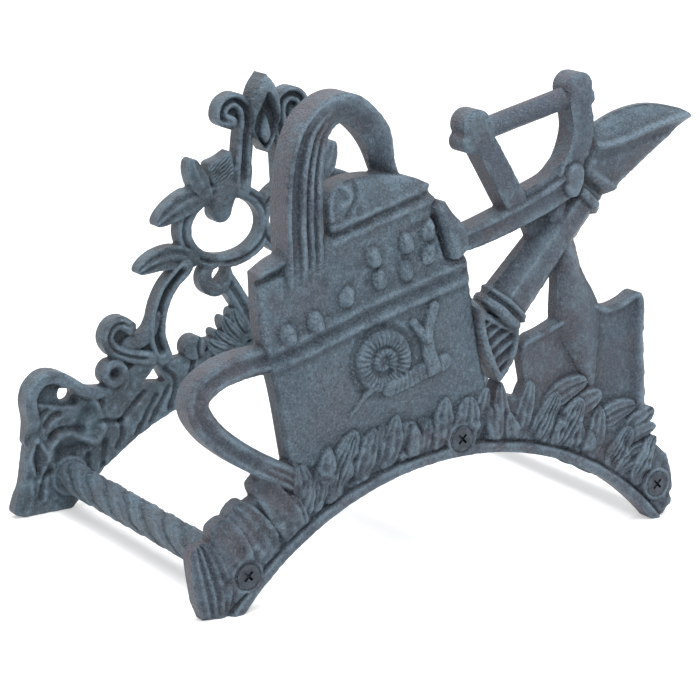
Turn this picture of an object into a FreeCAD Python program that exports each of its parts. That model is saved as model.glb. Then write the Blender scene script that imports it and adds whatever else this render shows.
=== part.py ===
import FreeCAD
import Part
import math
import os
from FreeCAD import Vector

# Garden hose hanger: a bas-relief front casting and a scrollwork back casting, held apart by three bars.
# Millimetres. X runs to the right, Y to the wall (Y = 0 is the wall), Z up from the feet while building.
# At the end everything is lowered, so that the origin is midway between the two wall screws.

# Assembly
plate_thick = 9.0
spacer_length = 172.0
spacer_diameter = 17.0
side_spacer_x = 120.0
side_spacer_z = 18.0
centre_spacer_z = 63.0

# Screws, holes and fits
screw_diameter = 6.0
screw_length = 26.0
head_diameter = 11.6
recess_span = 6.0
recess_slot = 1.3
recess_depth = 2.4
recess_turn = 45.0
hole_clearance = 0.4
thread_clearance = 0.1
seat_clearance = 0.2
front_seat_margin = 1.0
back_seat_margin = 1.5
tap_extra_depth = 3.0
wall_hole_diameter = 8.0
wall_hole_x = 120.0
wall_hole_z = 61.5

# How far a straight chord of a carved outline may stand off its smooth curve
chord_fit = 0.66

# Arches under both castings
back_arch_radius = 160.8
back_arch_crown = 52.9
front_arch_radius = 158.4
front_arch_crown = 54.5
front_arch_x = -3.0
arch_rim_width = 5.0
arch_rim_rise = 1.2

# Relief of the front casting, measured forward from its back face
bank_depth = 8.0
can_edge_depth = 8.5
can_crown_depth = 14.0
can_foot_run = 32.0
band_rise = 1.2
strap_depth = 16.0
strap_groove = 1.6
handle_depth = 12.0
handle_ridge = 1.5
brace_depth = 13.0
grip_depth = 13.0
grip_radius = 5.3
blade_depth = 8.0
blade_dish = 2.0
rose_depth = 13.0
snail_rise = 3.0
leaf_rise = 3.5
leaf_gap = 1.5
leaf_bury = 0.5

# Relief of the back casting, measured forward from the wall
scroll_depth = 8.0
scroll_step = 1.0
rim_depth = 10.5
recess_floor = 5.0
eye_floor = 5.5
finial_depth = 15.0
drop_step = 4.0
carving_rise = 2.0

front_back_y = -(plate_thick + spacer_length)
screw_places = [
    (-side_spacer_x, side_spacer_z),
    (0.0, centre_spacer_z),
    (side_spacer_x, side_spacer_z),
]


def spot(x, z):
    return Vector(x, 0.0, z)


def smooth(points, closed=False):
    curve = Part.BSplineCurve()
    curve.interpolate(points, PeriodicFlag=closed)
    return curve


def chords(points, closed=False):
    """Corners of a chain of chords along the smooth curve through the points."""
    if len(points) == 2:
        return points
    return smooth(points, closed).toShape().discretize(Deflection=chord_fit)


def filled(corners):
    return Part.Face(Part.makePolygon(corners + corners[:1]))


def outline(points):
    """Face inside a smooth closed curve through the points."""
    return filled(chords([spot(x, z) for x, z in points], True)[:-1])


def cornered(*runs):
    """Face whose edge is a chain of runs, each smooth within itself and meeting the next at a corner."""
    corners = []
    for run in runs:
        corners.extend(chords([spot(x, z) for x, z in run])[:-1])
    return filled(corners)


def round_face(x, z, radius):
    circle = Part.Circle(spot(x, z), Vector(0, -1, 0), radius)
    return Part.Face(Part.Wire([circle.toShape()]))


def oval_face(x, z, half_width, half_height):
    oval = Part.Ellipse(spot(x, z), half_width, half_height).toShape()
    oval.rotate(spot(x, z), Vector(1, 0, 0), 90)
    return filled(oval.discretize(Deflection=chord_fit)[:-1])


def disc(x, z, radius):
    """Small round face, in chords like the rest of the carving."""
    circle = Part.Circle(spot(x, z), Vector(0, -1, 0), radius).toShape()
    return filled(circle.discretize(Deflection=chord_fit)[:-1])


def ribbon(path, start_width, end_width, shift=0.0):
    """Face of a strip along a smooth path, with blunt ends. Shift moves it sideways, in half widths."""
    curve = smooth([spot(x, z) for x, z in path])
    count = 2 * len(path) - 1 if len(path) > 2 else 2
    first_side = []
    second_side = []
    for step in range(count):
        share = step / (count - 1)
        along = curve.FirstParameter + share * (curve.LastParameter - curve.FirstParameter)
        tangent = curve.tangent(along)[0]
        sideways = Vector(-tangent.z, 0, tangent.x)
        half = 0.5 * (start_width + share * (end_width - start_width))
        middle = curve.value(along) + sideways * (shift * half)
        first_side.append(middle + sideways * half)
        second_side.append(middle - sideways * half)
    start_nose = curve.tangent(curve.FirstParameter)[0] * (-start_width / 2)
    end_nose = curve.tangent(curve.LastParameter)[0] * (end_width / 2)
    end_cap = blunt(first_side[-1], second_side[-1], end_nose)
    start_cap = blunt(second_side[0], first_side[0], start_nose)
    return filled(chords(first_side) + end_cap + chords(second_side[::-1]) + start_cap)


def blunt(start, end, nose):
    """Corners that round a strip's end off, between its two sides."""
    middle = (start + end) * 0.5
    half = start - middle
    diagonal = math.sqrt(0.5)
    return [middle + (half + nose) * diagonal, middle + nose, middle + (nose - half) * diagonal]


def thicken(face, base_y, depth):
    """Solid from a face in the XZ plane, standing forward from base_y."""
    solid = face.extrude(Vector(0, -depth, 0))
    solid.translate(Vector(0, base_y, 0))
    return solid


def sink(face, base_y, top_depth, cut_depth):
    """Cutter that takes cut_depth off a surface which stands top_depth forward from base_y."""
    clear = 2.0 * top_depth
    return thicken(face, base_y - top_depth + cut_depth, cut_depth + clear)


def leaf(root, tip, width, base_y, depth, rise):
    """Carved leaf: a pointed outline that stands depth high, under a ridged roof of flat facets."""
    foot = Vector(root[0], base_y - depth, root[1])
    along = spot(*tip) - spot(*root)
    sideways = Vector(-along.z, 0, along.x).normalize() * (width / 2)
    up = Vector(0, -rise, 0)
    heel = [foot + sideways * 0.6, foot - sideways * 0.6]
    waist = [foot + along * 0.45 + sideways, foot + along * 0.45 - sideways]
    point = foot + along
    ridge = [foot + along * 0.1 + up * 0.6, foot + along * 0.5 + up]
    edge = [heel[0], waist[0], point, waist[1], heel[1]]
    ground = [corner + Vector(0, depth, 0) for corner in edge]

    faces = [filled(ground), filled([heel[0], heel[1], ridge[0]])]
    for here in range(len(edge)):
        there = (here + 1) % len(edge)
        faces.append(filled([ground[here], ground[there], edge[there], edge[here]]))
    for side in range(2):
        faces.append(filled([heel[side], waist[side], ridge[0]]))
        faces.append(filled([waist[side], ridge[1], ridge[0]]))
        faces.append(filled([waist[side], point, ridge[1]]))
    return Part.Solid(Part.Shell(faces))


def turned(start, end, profile, base_y):
    """Half round shape in flats, standing on base_y. The profile gives (share of the way, radius)."""
    foot = Vector(start[0], base_y, start[1])
    reach = spot(*end) - spot(*start)
    sideways = Vector(-reach.z, 0, reach.x).normalize()
    flat_count = 5
    turns = [math.pi * step / flat_count for step in range(flat_count + 1)]
    spokes = [sideways * math.cos(turn) + Vector(0, -math.sin(turn), 0) for turn in turns]
    rings = [[foot + reach * share + spoke * radius for spoke in spokes] for share, radius in profile]
    faces = [filled(rings[0]), filled(rings[-1])]
    for near, far in zip(rings, rings[1:]):
        faces.append(filled([near[0], near[-1], far[-1], far[0]]))
        for step in range(flat_count):
            faces.append(filled([near[step], near[step + 1], far[step + 1], far[step]]))
    return Part.Solid(Part.Shell(faces))


def joined(shapes):
    """One solid from overlapping shapes."""
    solids = [solid for shape in shapes for solid in shape.Solids]
    body = solids[0].multiFuse(solids[1:])
    return body.removeSplitter()


def arch_circle_z(crown, radius):
    return crown - radius


# Front casting


def bank_face():
    """Ground under the can and the spade, with the two feet and the arch between them."""
    left_foot = [(-131.0, 0.0), (-139.0, 0.8), (-144.0, 6.0), (-145.5, 16.0), (-145.5, 28.0)]
    left_top = [(-145.5, 28.0), (-136.0, 43.0), (-124.0, 51.0), (-112.0, 58.0), (-90.0, 66.0)]
    middle_top = [(-90.0, 66.0), (-40.0, 73.0), (14.0, 80.0), (30.0, 81.0), (44.0, 75.0)]
    right_top = [(44.0, 75.0), (75.0, 70.0), (100.0, 60.0), (115.0, 52.0), (117.0, 42.0), (127.5, 32.0)]
    right_foot = [(127.5, 32.0), (131.0, 18.0), (130.0, 6.0), (124.5, 0.0)]
    ground = [(124.5, 0.0), (-131.0, 0.0)]
    whole = cornered(left_foot, left_top, middle_top, right_top, right_foot, ground)
    arch = round_face(front_arch_x, arch_circle_z(front_arch_crown, front_arch_radius), front_arch_radius)
    return whole.cut(arch)


def arch_rim(ground):
    reach = front_arch_radius + arch_rim_width
    ring = round_face(front_arch_x, arch_circle_z(front_arch_crown, front_arch_radius), reach)
    rim = ground.common(ring)
    return thicken(rim, front_back_y, bank_depth + arch_rim_rise)


def grass():
    """Blades that stand along the arch, tall and short by turns, each leaning its own way."""
    blades = []
    count = 16
    blade_width = 12.5
    spread = math.radians(80)
    hub_z = arch_circle_z(front_arch_crown, front_arch_radius)
    root_reach = front_arch_radius + arch_rim_width + leaf_gap
    for place in range(count):
        turn = spread * (place / (count - 1) - 0.5)
        lean = 0.3 * math.sin(2.4 * place)
        length = 26.0 - 8.0 * (place % 2)
        root = (front_arch_x + root_reach * math.sin(turn), hub_z + root_reach * math.cos(turn))
        tip = (root[0] + length * math.sin(turn + lean), root[1] + length * math.cos(turn + lean))
        blades.append(leaf(root, tip, blade_width, front_back_y, bank_depth - leaf_bury, leaf_rise))
    return blades


def can_bulge(extra):
    """Long tilted block with a front crowned in flats, which trims the can's parts to one bulge."""
    tilt = math.radians(13)
    axis = Vector(-math.sin(tilt), 0, math.cos(tilt))
    across = Vector(math.cos(tilt), 0, math.sin(tilt))
    half_width = 57.0
    length = 260.0
    foot = spot(-52.0, 120.0) - axis * (length / 2) + Vector(0, front_back_y, 0)
    flat_count = 6
    overhang = 1.3
    crown = []
    for step in range(flat_count + 1):
        share = overhang * (2 * step / flat_count - 1)
        depth = can_crown_depth + extra - (can_crown_depth - can_edge_depth) * share ** 2
        crown.append(foot + across * (half_width * share) + Vector(0, -depth, 0))
    ground = [foot + across * (half_width * overhang), foot - across * (half_width * overhang)]
    return filled(crown + ground).extrude(axis * length)


def can_face():
    left_side = [(-96.0, 66.0), (-103.0, 103.0), (-110.5, 132.0), (-112.0, 160.0)]
    shoulder = [(-112.0, 160.0), (-99.0, 166.5), (-64.0, 176.0), (-16.0, 184.0)]
    right_side = [(-16.0, 184.0), (2.5, 153.0), (6.0, 134.0), (10.5, 105.0), (17.0, 80.0)]
    bottom = [(17.0, 80.0), (-96.0, 66.0)]
    return cornered(left_side, shoulder, right_side, bottom)


def can_hood_face():
    rim = [(-74.0, 172.0), (-72.0, 190.0), (-60.0, 196.5), (-44.0, 197.0), (-26.0, 193.0), (-17.0, 188.0)]
    side = [(-17.0, 188.0), (-15.0, 180.0)]
    base = [(-15.0, 180.0), (-44.0, 176.5), (-74.0, 172.0)]
    return cornered(rim, side, base)


def can_foot_cut():
    """Wedge that takes the can's wall back to the bank's level at its foot."""
    tilt = math.radians(7)
    across = Vector(math.cos(tilt), 0, math.sin(tilt))
    axis = Vector(-math.sin(tilt), 0, math.cos(tilt))
    half_width = 80.0
    low = spot(-40.0, 70.0) - across * half_width + Vector(0, front_back_y - bank_depth, 0)
    ahead = Vector(0, -2 * can_crown_depth, 0)
    slope = axis * can_foot_run + Vector(0, bank_depth - can_crown_depth, 0)
    profile = [low - axis * can_foot_run, low, low + slope, low + slope + ahead, low - axis * can_foot_run + ahead]
    return filled(profile).extrude(across * (2 * half_width))


def can_bands():
    lower = [(-108.0, 118.0), (-62.0, 130.5), (4.0, 144.0)]
    upper = [(-72.0, 176.5), (-44.0, 181.0), (-19.0, 184.5)]
    band_width = 14.0
    groove_width = 4.0
    outer = ribbon(lower, band_width, band_width).cut(ribbon(lower, groove_width, groove_width))
    return [outer, ribbon(upper, 5.0, 5.0)]


def watering_can():
    bulge = can_bulge(0.0)
    raised = can_bulge(band_rise)
    tall = 2 * can_crown_depth
    solids = [thicken(can_face(), front_back_y, tall).common(bulge).cut(can_foot_cut())]
    solids.append(thicken(can_hood_face(), front_back_y, tall).common(bulge))
    for band in can_bands():
        trimmed = band.common(can_face().fuse(can_hood_face()))
        solids.append(thicken(trimmed, front_back_y, tall).common(raised))
    solids.append(thicken(disc(-8.0, 166.0, 9.0), front_back_y, brace_depth))
    return solids


def over_strap():
    path = [(-88.0, 145.0), (-89.5, 175.0), (-89.0, 203.0), (-84.5, 220.0), (-75.0, 229.5), (-64.5, 231.0),
            (-54.5, 224.0), (-46.0, 212.0), (-38.0, 196.0)]
    start_width = 19.0
    end_width = 11.0
    strap = thicken(ribbon(path, start_width, end_width), front_back_y, strap_depth)
    groove_share = 0.24
    for shift in (-1.5, 1.5):
        groove = ribbon(path, groove_share * start_width, groove_share * end_width, shift)
        strap = strap.cut(sink(groove, front_back_y, strap_depth, strap_groove))
    hood = thicken(can_hood_face(), front_back_y, 2 * strap_depth)
    return strap.cut(hood)


def side_handle():
    path = [(-104.0, 119.0), (-119.0, 119.0), (-133.0, 116.0), (-143.0, 109.5), (-144.5, 101.0),
            (-138.0, 90.5), (-126.0, 80.0), (-112.5, 71.0), (-103.5, 60.0), (-98.0, 46.0)]
    width = 11.5
    ridge = 4.0
    loop = thicken(ribbon(path, width, width), front_back_y, handle_depth)
    return loop.fuse(thicken(ribbon(path, ridge, ridge), front_back_y, handle_depth + handle_ridge))


def spout():
    """Tapering spout with a collar at each end, on a root that bends down to the foot of the can."""
    base = (23.0, 120.5)
    end = (74.0, 173.0)
    base_radius = 13.0
    end_radius = 10.0
    collar_rise = 1.8
    low_collar = base_radius + collar_rise
    high_collar = end_radius + collar_rise
    tube = [(0.0, low_collar), (0.07, low_collar), (0.09, base_radius),
            (0.91, end_radius), (0.93, high_collar), (1.0, high_collar)]
    root = (18.5, 89.0)
    root_end = (25.0, 123.0)
    taper = [(0.0, 4.0), (1.0, base_radius - 1.0)]
    return [turned(base, end, tube, front_back_y), turned(root, root_end, taper, front_back_y)]


def rose():
    """Flared sprinkler head. Its face tips up and forward, so a slanted plane trims the fan's far edge."""
    under = [(78.0, 167.5), (93.5, 177.5), (112.0, 190.7), (134.5, 205.5)]
    brim = [(134.5, 205.5), (129.0, 210.0), (112.0, 213.0), (95.0, 211.0), (79.0, 205.0)]
    left = [(79.0, 205.0), (73.0, 192.0), (64.0, 178.0)]
    neck = [(64.0, 178.0), (78.0, 167.5)]
    fan = thicken(cornered(under, brim, left, neck), front_back_y, rose_depth)
    front_y = front_back_y - rose_depth
    start = Vector(72.0, front_y, 199.5)
    along = Vector(135.0, front_y, 204.5) - start
    slope_out = 12.0
    slope_in = rose_depth - 3.0
    above = 2 * rose_depth
    wedge = [start, start + Vector(0, slope_in, slope_out), start + Vector(0, slope_in, slope_out + above),
             start + Vector(0, -above, slope_out + above), start + Vector(0, -above, 0)]
    return fan.cut(filled(wedge).extrude(along))


def brace():
    path = [(-6.0, 162.0), (12.0, 164.5), (28.0, 168.5), (45.0, 173.5), (63.0, 181.0)]
    return thicken(ribbon(path, 9.0, 13.0), front_back_y, brace_depth)


def spade_grip():
    left_post = [(8.0, 214.0), (28.5, 177.0)]
    right_post = [(66.0, 224.0), (69.0, 210.0), (65.0, 187.0)]
    bar_start = Vector(4.5, front_back_y - grip_depth / 2, 208.0)
    bar_end = Vector(71.0, front_back_y - grip_depth / 2, 222.5)
    bar_reach = bar_end - bar_start
    solids = [
        thicken(ribbon(left_post, 11.5, 10.5), front_back_y, grip_depth),
        thicken(ribbon(right_post, 12.0, 11.0), front_back_y, grip_depth),
        thicken(disc(8.0, 214.5, 7.6), front_back_y, grip_depth),
        thicken(disc(66.5, 225.0, 7.6), front_back_y, grip_depth),
        Part.makeCylinder(grip_radius, bar_reach.Length, bar_start, bar_reach),
    ]
    return solids


def blade_face():
    left_edge = [(44.0, 60.0), (39.0, 82.0), (36.0, 102.0), (41.0, 107.5)]
    left_top = [(41.0, 107.5), (49.0, 109.5), (58.0, 113.0)]
    socket_top = [(58.0, 113.0), (79.0, 119.0)]
    right_top = [(79.0, 119.0), (88.0, 115.5), (97.0, 117.0), (105.0, 120.5), (109.5, 117.0), (110.5, 108.0)]
    right_edge = [(110.5, 108.0), (112.5, 55.0)]
    bottom = [(112.5, 55.0), (44.0, 60.0)]
    return cornered(left_edge, left_top, socket_top, right_top, right_edge, bottom)


def spade():
    dish_left = [(48.0, 55.0), (44.0, 82.0), (43.0, 101.0)]
    dish_top = [(43.0, 101.0), (72.0, 108.0), (103.0, 111.0)]
    dish_right = [(103.0, 111.0), (105.5, 55.0)]
    dish_foot = [(105.5, 55.0), (48.0, 55.0)]
    dish = cornered(dish_left, dish_top, dish_right, dish_foot)
    blade = thicken(blade_face(), front_back_y, blade_depth)
    blade = blade.cut(sink(dish, front_back_y, blade_depth, blade_dish))
    tip = (79.0, 76.0)
    shaft_top = (54.0, 176.0)
    shaft_radius = 6.5
    socket_radius = 10.5
    socket = [(0.0, 1.0), (0.3, socket_radius), (0.55, shaft_radius), (1.0, shaft_radius)]
    return [blade, turned(tip, shaft_top, socket, front_back_y)]


def snail():
    """Snail on the can's wall: a stepped shell, a creeping body, a raised neck and two feelers."""
    shell_x, shell_z = -50.0, 108.0
    body = [(-62.0, 99.0), (-45.0, 97.5), (-28.0, 101.0), (-15.0, 104.0)]
    neck = [(-24.0, 102.0), (-25.0, 112.0), (-24.0, 119.0)]
    feelers = [[(-24.5, 117.0), (-32.0, 127.0)], [(-23.0, 117.0), (-20.5, 131.0)]]
    faces = [(disc(shell_x, shell_z, 14.0), 0.7), (disc(shell_x + 1.5, shell_z, 7.0), 1.0)]
    faces.append((ribbon(body, 5.0, 5.0), 0.5))
    faces.append((ribbon(neck, 8.0, 6.0), 0.6))
    faces.extend((ribbon(feeler, 3.5, 4.0), 0.6) for feeler in feelers)
    tall = 3 * can_crown_depth
    return [thicken(face, front_back_y, tall).common(can_bulge(snail_rise * share)) for face, share in faces]


def seated(body, base_y, radius):
    """The body with a flat round seat, plate_thick high, at each screw."""
    pads = [thicken(disc(x, z, radius), base_y, plate_thick) for x, z in screw_places]
    above = [thicken(disc(x, z, radius), base_y - plate_thick, 3 * plate_thick) for x, z in screw_places]
    return joined([body] + pads).cut(above)


def front_screw_cuts():
    face_y = front_back_y - plate_thick
    return [screw_blank(place, face_y, 1, hole_clearance, seat_clearance) for place in screw_places]


def front_plate():
    ground = bank_face()
    handles = [over_strap(), side_handle(), brace(), rose()]
    body = joined([thicken(ground, front_back_y, bank_depth), arch_rim(ground)])
    for group in (grass(), watering_can(), handles, spout(), spade_grip(), spade(), snail()):
        body = joined([body] + group)
    arch = round_face(front_arch_x, arch_circle_z(front_arch_crown, front_arch_radius), front_arch_radius)
    body = body.cut(thicken(arch, front_back_y + 1, 3 * plate_thick))
    body = seated(body, front_back_y, head_diameter / 2 + front_seat_margin)
    return body.cut(front_screw_cuts()).removeSplitter()


# Back casting


def panel_face():
    """Left half of the low panel, from the centre line to the foot and its ear."""
    foot = [(-112.0, 0.0), (-146.0, 0.0)]
    toe = [(-146.0, 0.0), (-151.5, 3.0), (-149.5, 11.0), (-146.5, 18.0), (-143.0, 37.0), (-139.0, 48.0)]
    ear = [(-139.0, 48.0), (-142.5, 58.0), (-142.5, 67.0), (-136.0, 74.0), (-128.0, 75.5), (-118.0, 71.5),
           (-106.0, 63.0), (-96.0, 62.0)]
    top = [(-96.0, 62.0), (-84.0, 68.0), (-72.0, 75.0), (-58.0, 70.5), (-30.0, 72.0), (0.0, 72.0)]
    middle = [(0.0, 72.0), (0.0, 0.0)]
    close = [(0.0, 0.0), (-112.0, 0.0)]
    whole = cornered(foot, toe, ear, top, middle, close)
    arch = round_face(0.0, arch_circle_z(back_arch_crown, back_arch_radius), back_arch_radius)
    return whole.cut(arch)


def lobed(points, depth):
    return thicken(outline(points), 0.0, depth)


def ear_rim():
    path = [(-138.0, 44.0), (-139.5, 58.0), (-138.5, 67.0), (-132.0, 71.8), (-124.0, 70.0), (-115.0, 63.5),
            (-104.0, 59.5)]
    return thicken(ribbon(path, 6.0, 6.0), 0.0, rim_depth)


def ear_recess():
    pocket = outline([(-134.5, 62.0), (-130.0, 67.0), (-123.0, 66.5), (-114.0, 57.5), (-123.0, 55.5)])
    return sink(pocket, 0.0, rim_depth, rim_depth - recess_floor)


def panel_window():
    """Three-cornered opening in the panel, under the volute."""
    corners = [spot(-75.5, 60.5), spot(-62.5, 59.0), spot(-67.5, 69.0)]
    return thicken(filled(corners), 1.0, 3 * plate_thick)


def scrolls():
    """Bars and curls of the left half, from the panel up to the volute beside the finial."""
    stem = [(-50.0, 117.0), (-58.0, 109.5), (-63.0, 101.0), (-65.5, 92.0), (-66.0, 83.0), (-63.0, 74.0)]
    curl = [(-66.0, 94.0), (-69.5, 87.0), (-75.0, 83.0), (-82.0, 82.5)]
    volute = [(-72.0, 73.5), (-84.0, 76.5), (-92.0, 81.0), (-94.8, 87.0), (-92.0, 92.8), (-86.5, 94.2),
              (-82.0, 91.0)]
    top_stem = [(-13.0, 158.0), (-12.0, 170.0), (-11.0, 182.0), (-9.8, 192.0), (-11.5, 199.5),
                (-17.0, 203.0), (-23.0, 200.5), (-24.5, 194.5), (-19.5, 191.5)]
    cross_bar = [(-25.0, 110.0), (-19.0, 101.0), (-12.0, 89.0), (-4.0, 74.0)]
    eyes = [(-17.5, 196.5, 6.0), (-89.5, 86.5, 4.6), (-72.0, 79.5, 4.6)]
    solids = [
        thicken(ribbon(stem, 8.0, 8.0), 0.0, scroll_depth),
        thicken(ribbon(curl, 7.0, 8.0), 0.0, scroll_depth),
        thicken(ribbon(volute, 8.0, 6.0), 0.0, scroll_depth + scroll_step),
        thicken(ribbon(top_stem, 9.0, 6.0), 0.0, scroll_depth + scroll_step),
        thicken(ribbon(cross_bar, 9.0, 9.0), 0.0, scroll_depth),
    ]
    return solids + [thicken(disc(x, z, radius), 0.0, eye_floor) for x, z, radius in eyes]


def ring():
    band = oval_face(-23.5, 137.0, 29.0, 22.5).cut(oval_face(-23.5, 137.0, 20.5, 15.0))
    knob = thicken(ribbon([(-23.0, 156.0), (-26.0, 145.5)], 14.0, 12.5), 0.0, scroll_depth + scroll_step)
    hanger = disc(-30.0, 110.0, 9.5).cut(disc(-28.5, 111.5, 4.2))
    return [thicken(band, 0.0, scroll_depth), knob, thicken(hanger, 0.0, scroll_depth)]


def foliage():
    """Leaves and buds that spring from the ring."""
    low_leaf = [(-75.0, 117.5), (-73.0, 123.5), (-64.0, 128.5), (-52.0, 129.0), (-48.0, 121.0),
                (-62.0, 117.0)]
    high_leaf = [(-63.0, 142.5), (-60.0, 148.0), (-50.0, 154.5), (-38.0, 158.0), (-38.0, 150.0),
                 (-52.0, 143.5)]
    bud = [(-46.0, 166.0), (-44.0, 172.0), (-40.5, 173.0), (-38.0, 166.5), (-33.0, 157.0), (-42.0, 158.5)]
    fan = [(-35.0, 169.0), (-31.0, 173.5), (-18.0, 178.0), (-14.0, 168.0), (-15.0, 156.0), (-29.0, 154.0)]
    return [
        lobed(low_leaf, scroll_depth),
        lobed(high_leaf, scroll_depth),
        lobed(bud, scroll_depth + scroll_step),
        lobed(fan, scroll_depth),
    ]


def panel_carving():
    """Leaves in low relief along the panel, fanning up from the arch, and a pair on the foot."""
    leaves = []
    count = 4
    first_x = -110.0
    pitch = 17.0
    hub_z = arch_circle_z(back_arch_crown, back_arch_radius)
    for place in range(count):
        root_x = first_x + pitch * place
        root_z = hub_z + math.sqrt(back_arch_radius ** 2 - root_x ** 2) + 3.0
        tip = (root_x + 4.0, root_z + 30.0 - 2.5 * place)
        leaves.append(leaf((root_x, root_z), tip, 14.0, 0.0, plate_thick, carving_rise))
    leaves.append(leaf((-146.0, 6.0), (-136.0, 46.0), 11.0, 0.0, plate_thick, carving_rise))
    leaves.append(leaf((-134.0, 4.0), (-131.0, 36.0), 9.0, 0.0, plate_thick, carving_rise))
    return leaves


def small_curls():
    eye = sink(disc(-92.0, 68.0, 2.8), 0.0, plate_thick, 4.0)
    curl = thicken(disc(-92.0, 68.0, 7.5), 0.0, plate_thick).cut(eye)
    bead = thicken(disc(-44.5, 74.5, 6.3), 0.0, plate_thick)
    sprig = [leaf((-16.0, 76.0), (-27.5, 89.0), 8.0, 0.0, scroll_depth, carving_rise)]
    sprig.append(leaf((-20.0, 72.0), (-33.0, 80.0), 8.0, 0.0, scroll_depth, carving_rise))
    return [curl, bead] + sprig


def almond(*side):
    """Face between a curve given by its points and the same curve mirrored, with a point at each end."""
    other = [(-x, z) for x, z in side[::-1]]
    return cornered(side, other)


def finial():
    body = almond((0.0, 174.0), (-6.5, 184.0), (-8.6, 197.0), (-6.0, 208.0), (0.0, 216.0))
    hollow = almond((0.0, 177.0), (-5.8, 191.0), (0.0, 206.0))
    drop = almond((0.0, 179.5), (-2.5, 186.0), (0.0, 194.0))
    shell = thicken(body, 0.0, finial_depth)
    shell = shell.cut(sink(hollow, 0.0, finial_depth, finial_depth - recess_floor))
    return shell.fuse(thicken(drop, 0.0, finial_depth - drop_step))


def wall_holes():
    holes = []
    for side in (-1, 1):
        start = Vector(side * wall_hole_x, -2 * plate_thick, wall_hole_z)
        holes.append(Part.makeCylinder(wall_hole_diameter / 2, 3 * plate_thick, start, Vector(0, 1, 0)))
    return holes


def back_screw_cuts():
    return [screw_blank(place, 0.0, -1, hole_clearance, seat_clearance) for place in screw_places]


def back_plate():
    left = joined([thicken(panel_face(), 0.0, plate_thick), ear_rim()])
    for group in (scrolls(), ring(), foliage(), panel_carving(), small_curls()):
        left = joined([left] + group)
    left = left.cut([ear_recess(), panel_window()])
    right = left.mirror(Vector(0, 0, 0), Vector(1, 0, 0))
    body = joined([left, right, finial()])
    arch = round_face(0.0, arch_circle_z(back_arch_crown, back_arch_radius), back_arch_radius)
    body = body.cut(thicken(arch, 1.0, 3 * plate_thick))
    body = seated(body, 0.0, spacer_diameter / 2 + back_seat_margin)
    return body.cut(back_screw_cuts() + wall_holes()).removeSplitter()


# Bars and screws


def spacer(place):
    """Round bar between the castings, tapped from both ends."""
    x, z = place
    back_y = -plate_thick
    body = Part.makeCylinder(spacer_diameter / 2, spacer_length, Vector(x, back_y, z), Vector(0, -1, 0))
    tap_radius = screw_diameter / 2 + thread_clearance
    tap_depth = screw_length - plate_thick + tap_extra_depth
    near = Part.makeCylinder(tap_radius, tap_depth, Vector(x, back_y, z), Vector(0, -1, 0))
    far = Part.makeCylinder(tap_radius, tap_depth, Vector(x, back_y - spacer_length, z), Vector(0, 1, 0))
    return body.cut([near, far])


def screw_blank(place, face_y, inward, shank_extra, head_extra):
    """Countersunk screw with no recess. Inward is the side of Y that the point looks to."""
    x, z = place
    head_radius = head_diameter / 2 + head_extra
    shank_radius = screw_diameter / 2 + shank_extra
    cone_height = head_radius - shank_radius
    axis = Vector(0, inward, 0)
    top = Vector(x, face_y, z)
    cone = Part.makeCone(head_radius, shank_radius, cone_height, top, axis)
    shank = Part.makeCylinder(shank_radius, screw_length - cone_height, top + axis * cone_height, axis)
    return cone.fuse(shank).removeSplitter()


def cross_recess(place, face_y, inward):
    x, z = place
    low_y = min(face_y, face_y + inward * recess_depth)
    half_span = recess_span / 2
    half_slot = recess_slot / 2
    wide = Part.makeBox(recess_span, recess_depth, recess_slot, Vector(x - half_span, low_y, z - half_slot))
    tall = Part.makeBox(recess_slot, recess_depth, recess_span, Vector(x - half_slot, low_y, z - half_span))
    cross = wide.fuse(tall)
    cross.rotate(Vector(x, face_y, z), Vector(0, 1, 0), recess_turn)
    return cross


def screw(place, face_y, inward):
    return screw_blank(place, face_y, inward, 0.0, 0.0).cut(cross_recess(place, face_y, inward))


def screw_set(face_y, inward):
    return Part.makeCompound([screw(place, face_y, inward) for place in screw_places])


def main():
    os.makedirs("parts", exist_ok=True)
    nodes = {
        "front_plate": front_plate(),
        "back_plate": back_plate(),
        "left_spacer": spacer(screw_places[0]),
        "centre_spacer": spacer(screw_places[1]),
        "right_spacer": spacer(screw_places[2]),
        "front_screws": screw_set(front_back_y - plate_thick, 1),
        "rear_screws": screw_set(0.0, -1),
    }
    for name, shape in nodes.items():
        shape.translate(Vector(0, 0, -wall_hole_z))
        shape.exportStep("parts/" + name + ".step")
        print(name, "solids", len(shape.Solids), "volume", round(shape.Volume), "valid", shape.isValid())


if __name__ == "__main__":
    main()
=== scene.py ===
import math

import bpy
import numpy as np
from mathutils import Matrix, Vector


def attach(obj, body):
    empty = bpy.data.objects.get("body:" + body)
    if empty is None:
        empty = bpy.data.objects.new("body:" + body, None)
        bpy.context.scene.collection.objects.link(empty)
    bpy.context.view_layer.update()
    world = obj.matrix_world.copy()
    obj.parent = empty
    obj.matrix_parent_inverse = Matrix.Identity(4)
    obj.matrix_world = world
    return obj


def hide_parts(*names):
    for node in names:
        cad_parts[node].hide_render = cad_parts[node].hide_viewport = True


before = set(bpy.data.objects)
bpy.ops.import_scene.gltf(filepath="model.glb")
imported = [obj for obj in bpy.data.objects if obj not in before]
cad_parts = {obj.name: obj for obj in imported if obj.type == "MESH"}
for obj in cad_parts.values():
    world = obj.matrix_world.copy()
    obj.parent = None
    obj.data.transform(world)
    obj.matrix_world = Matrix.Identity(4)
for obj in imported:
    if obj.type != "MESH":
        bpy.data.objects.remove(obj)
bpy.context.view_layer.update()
print("loaded the frame")

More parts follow.
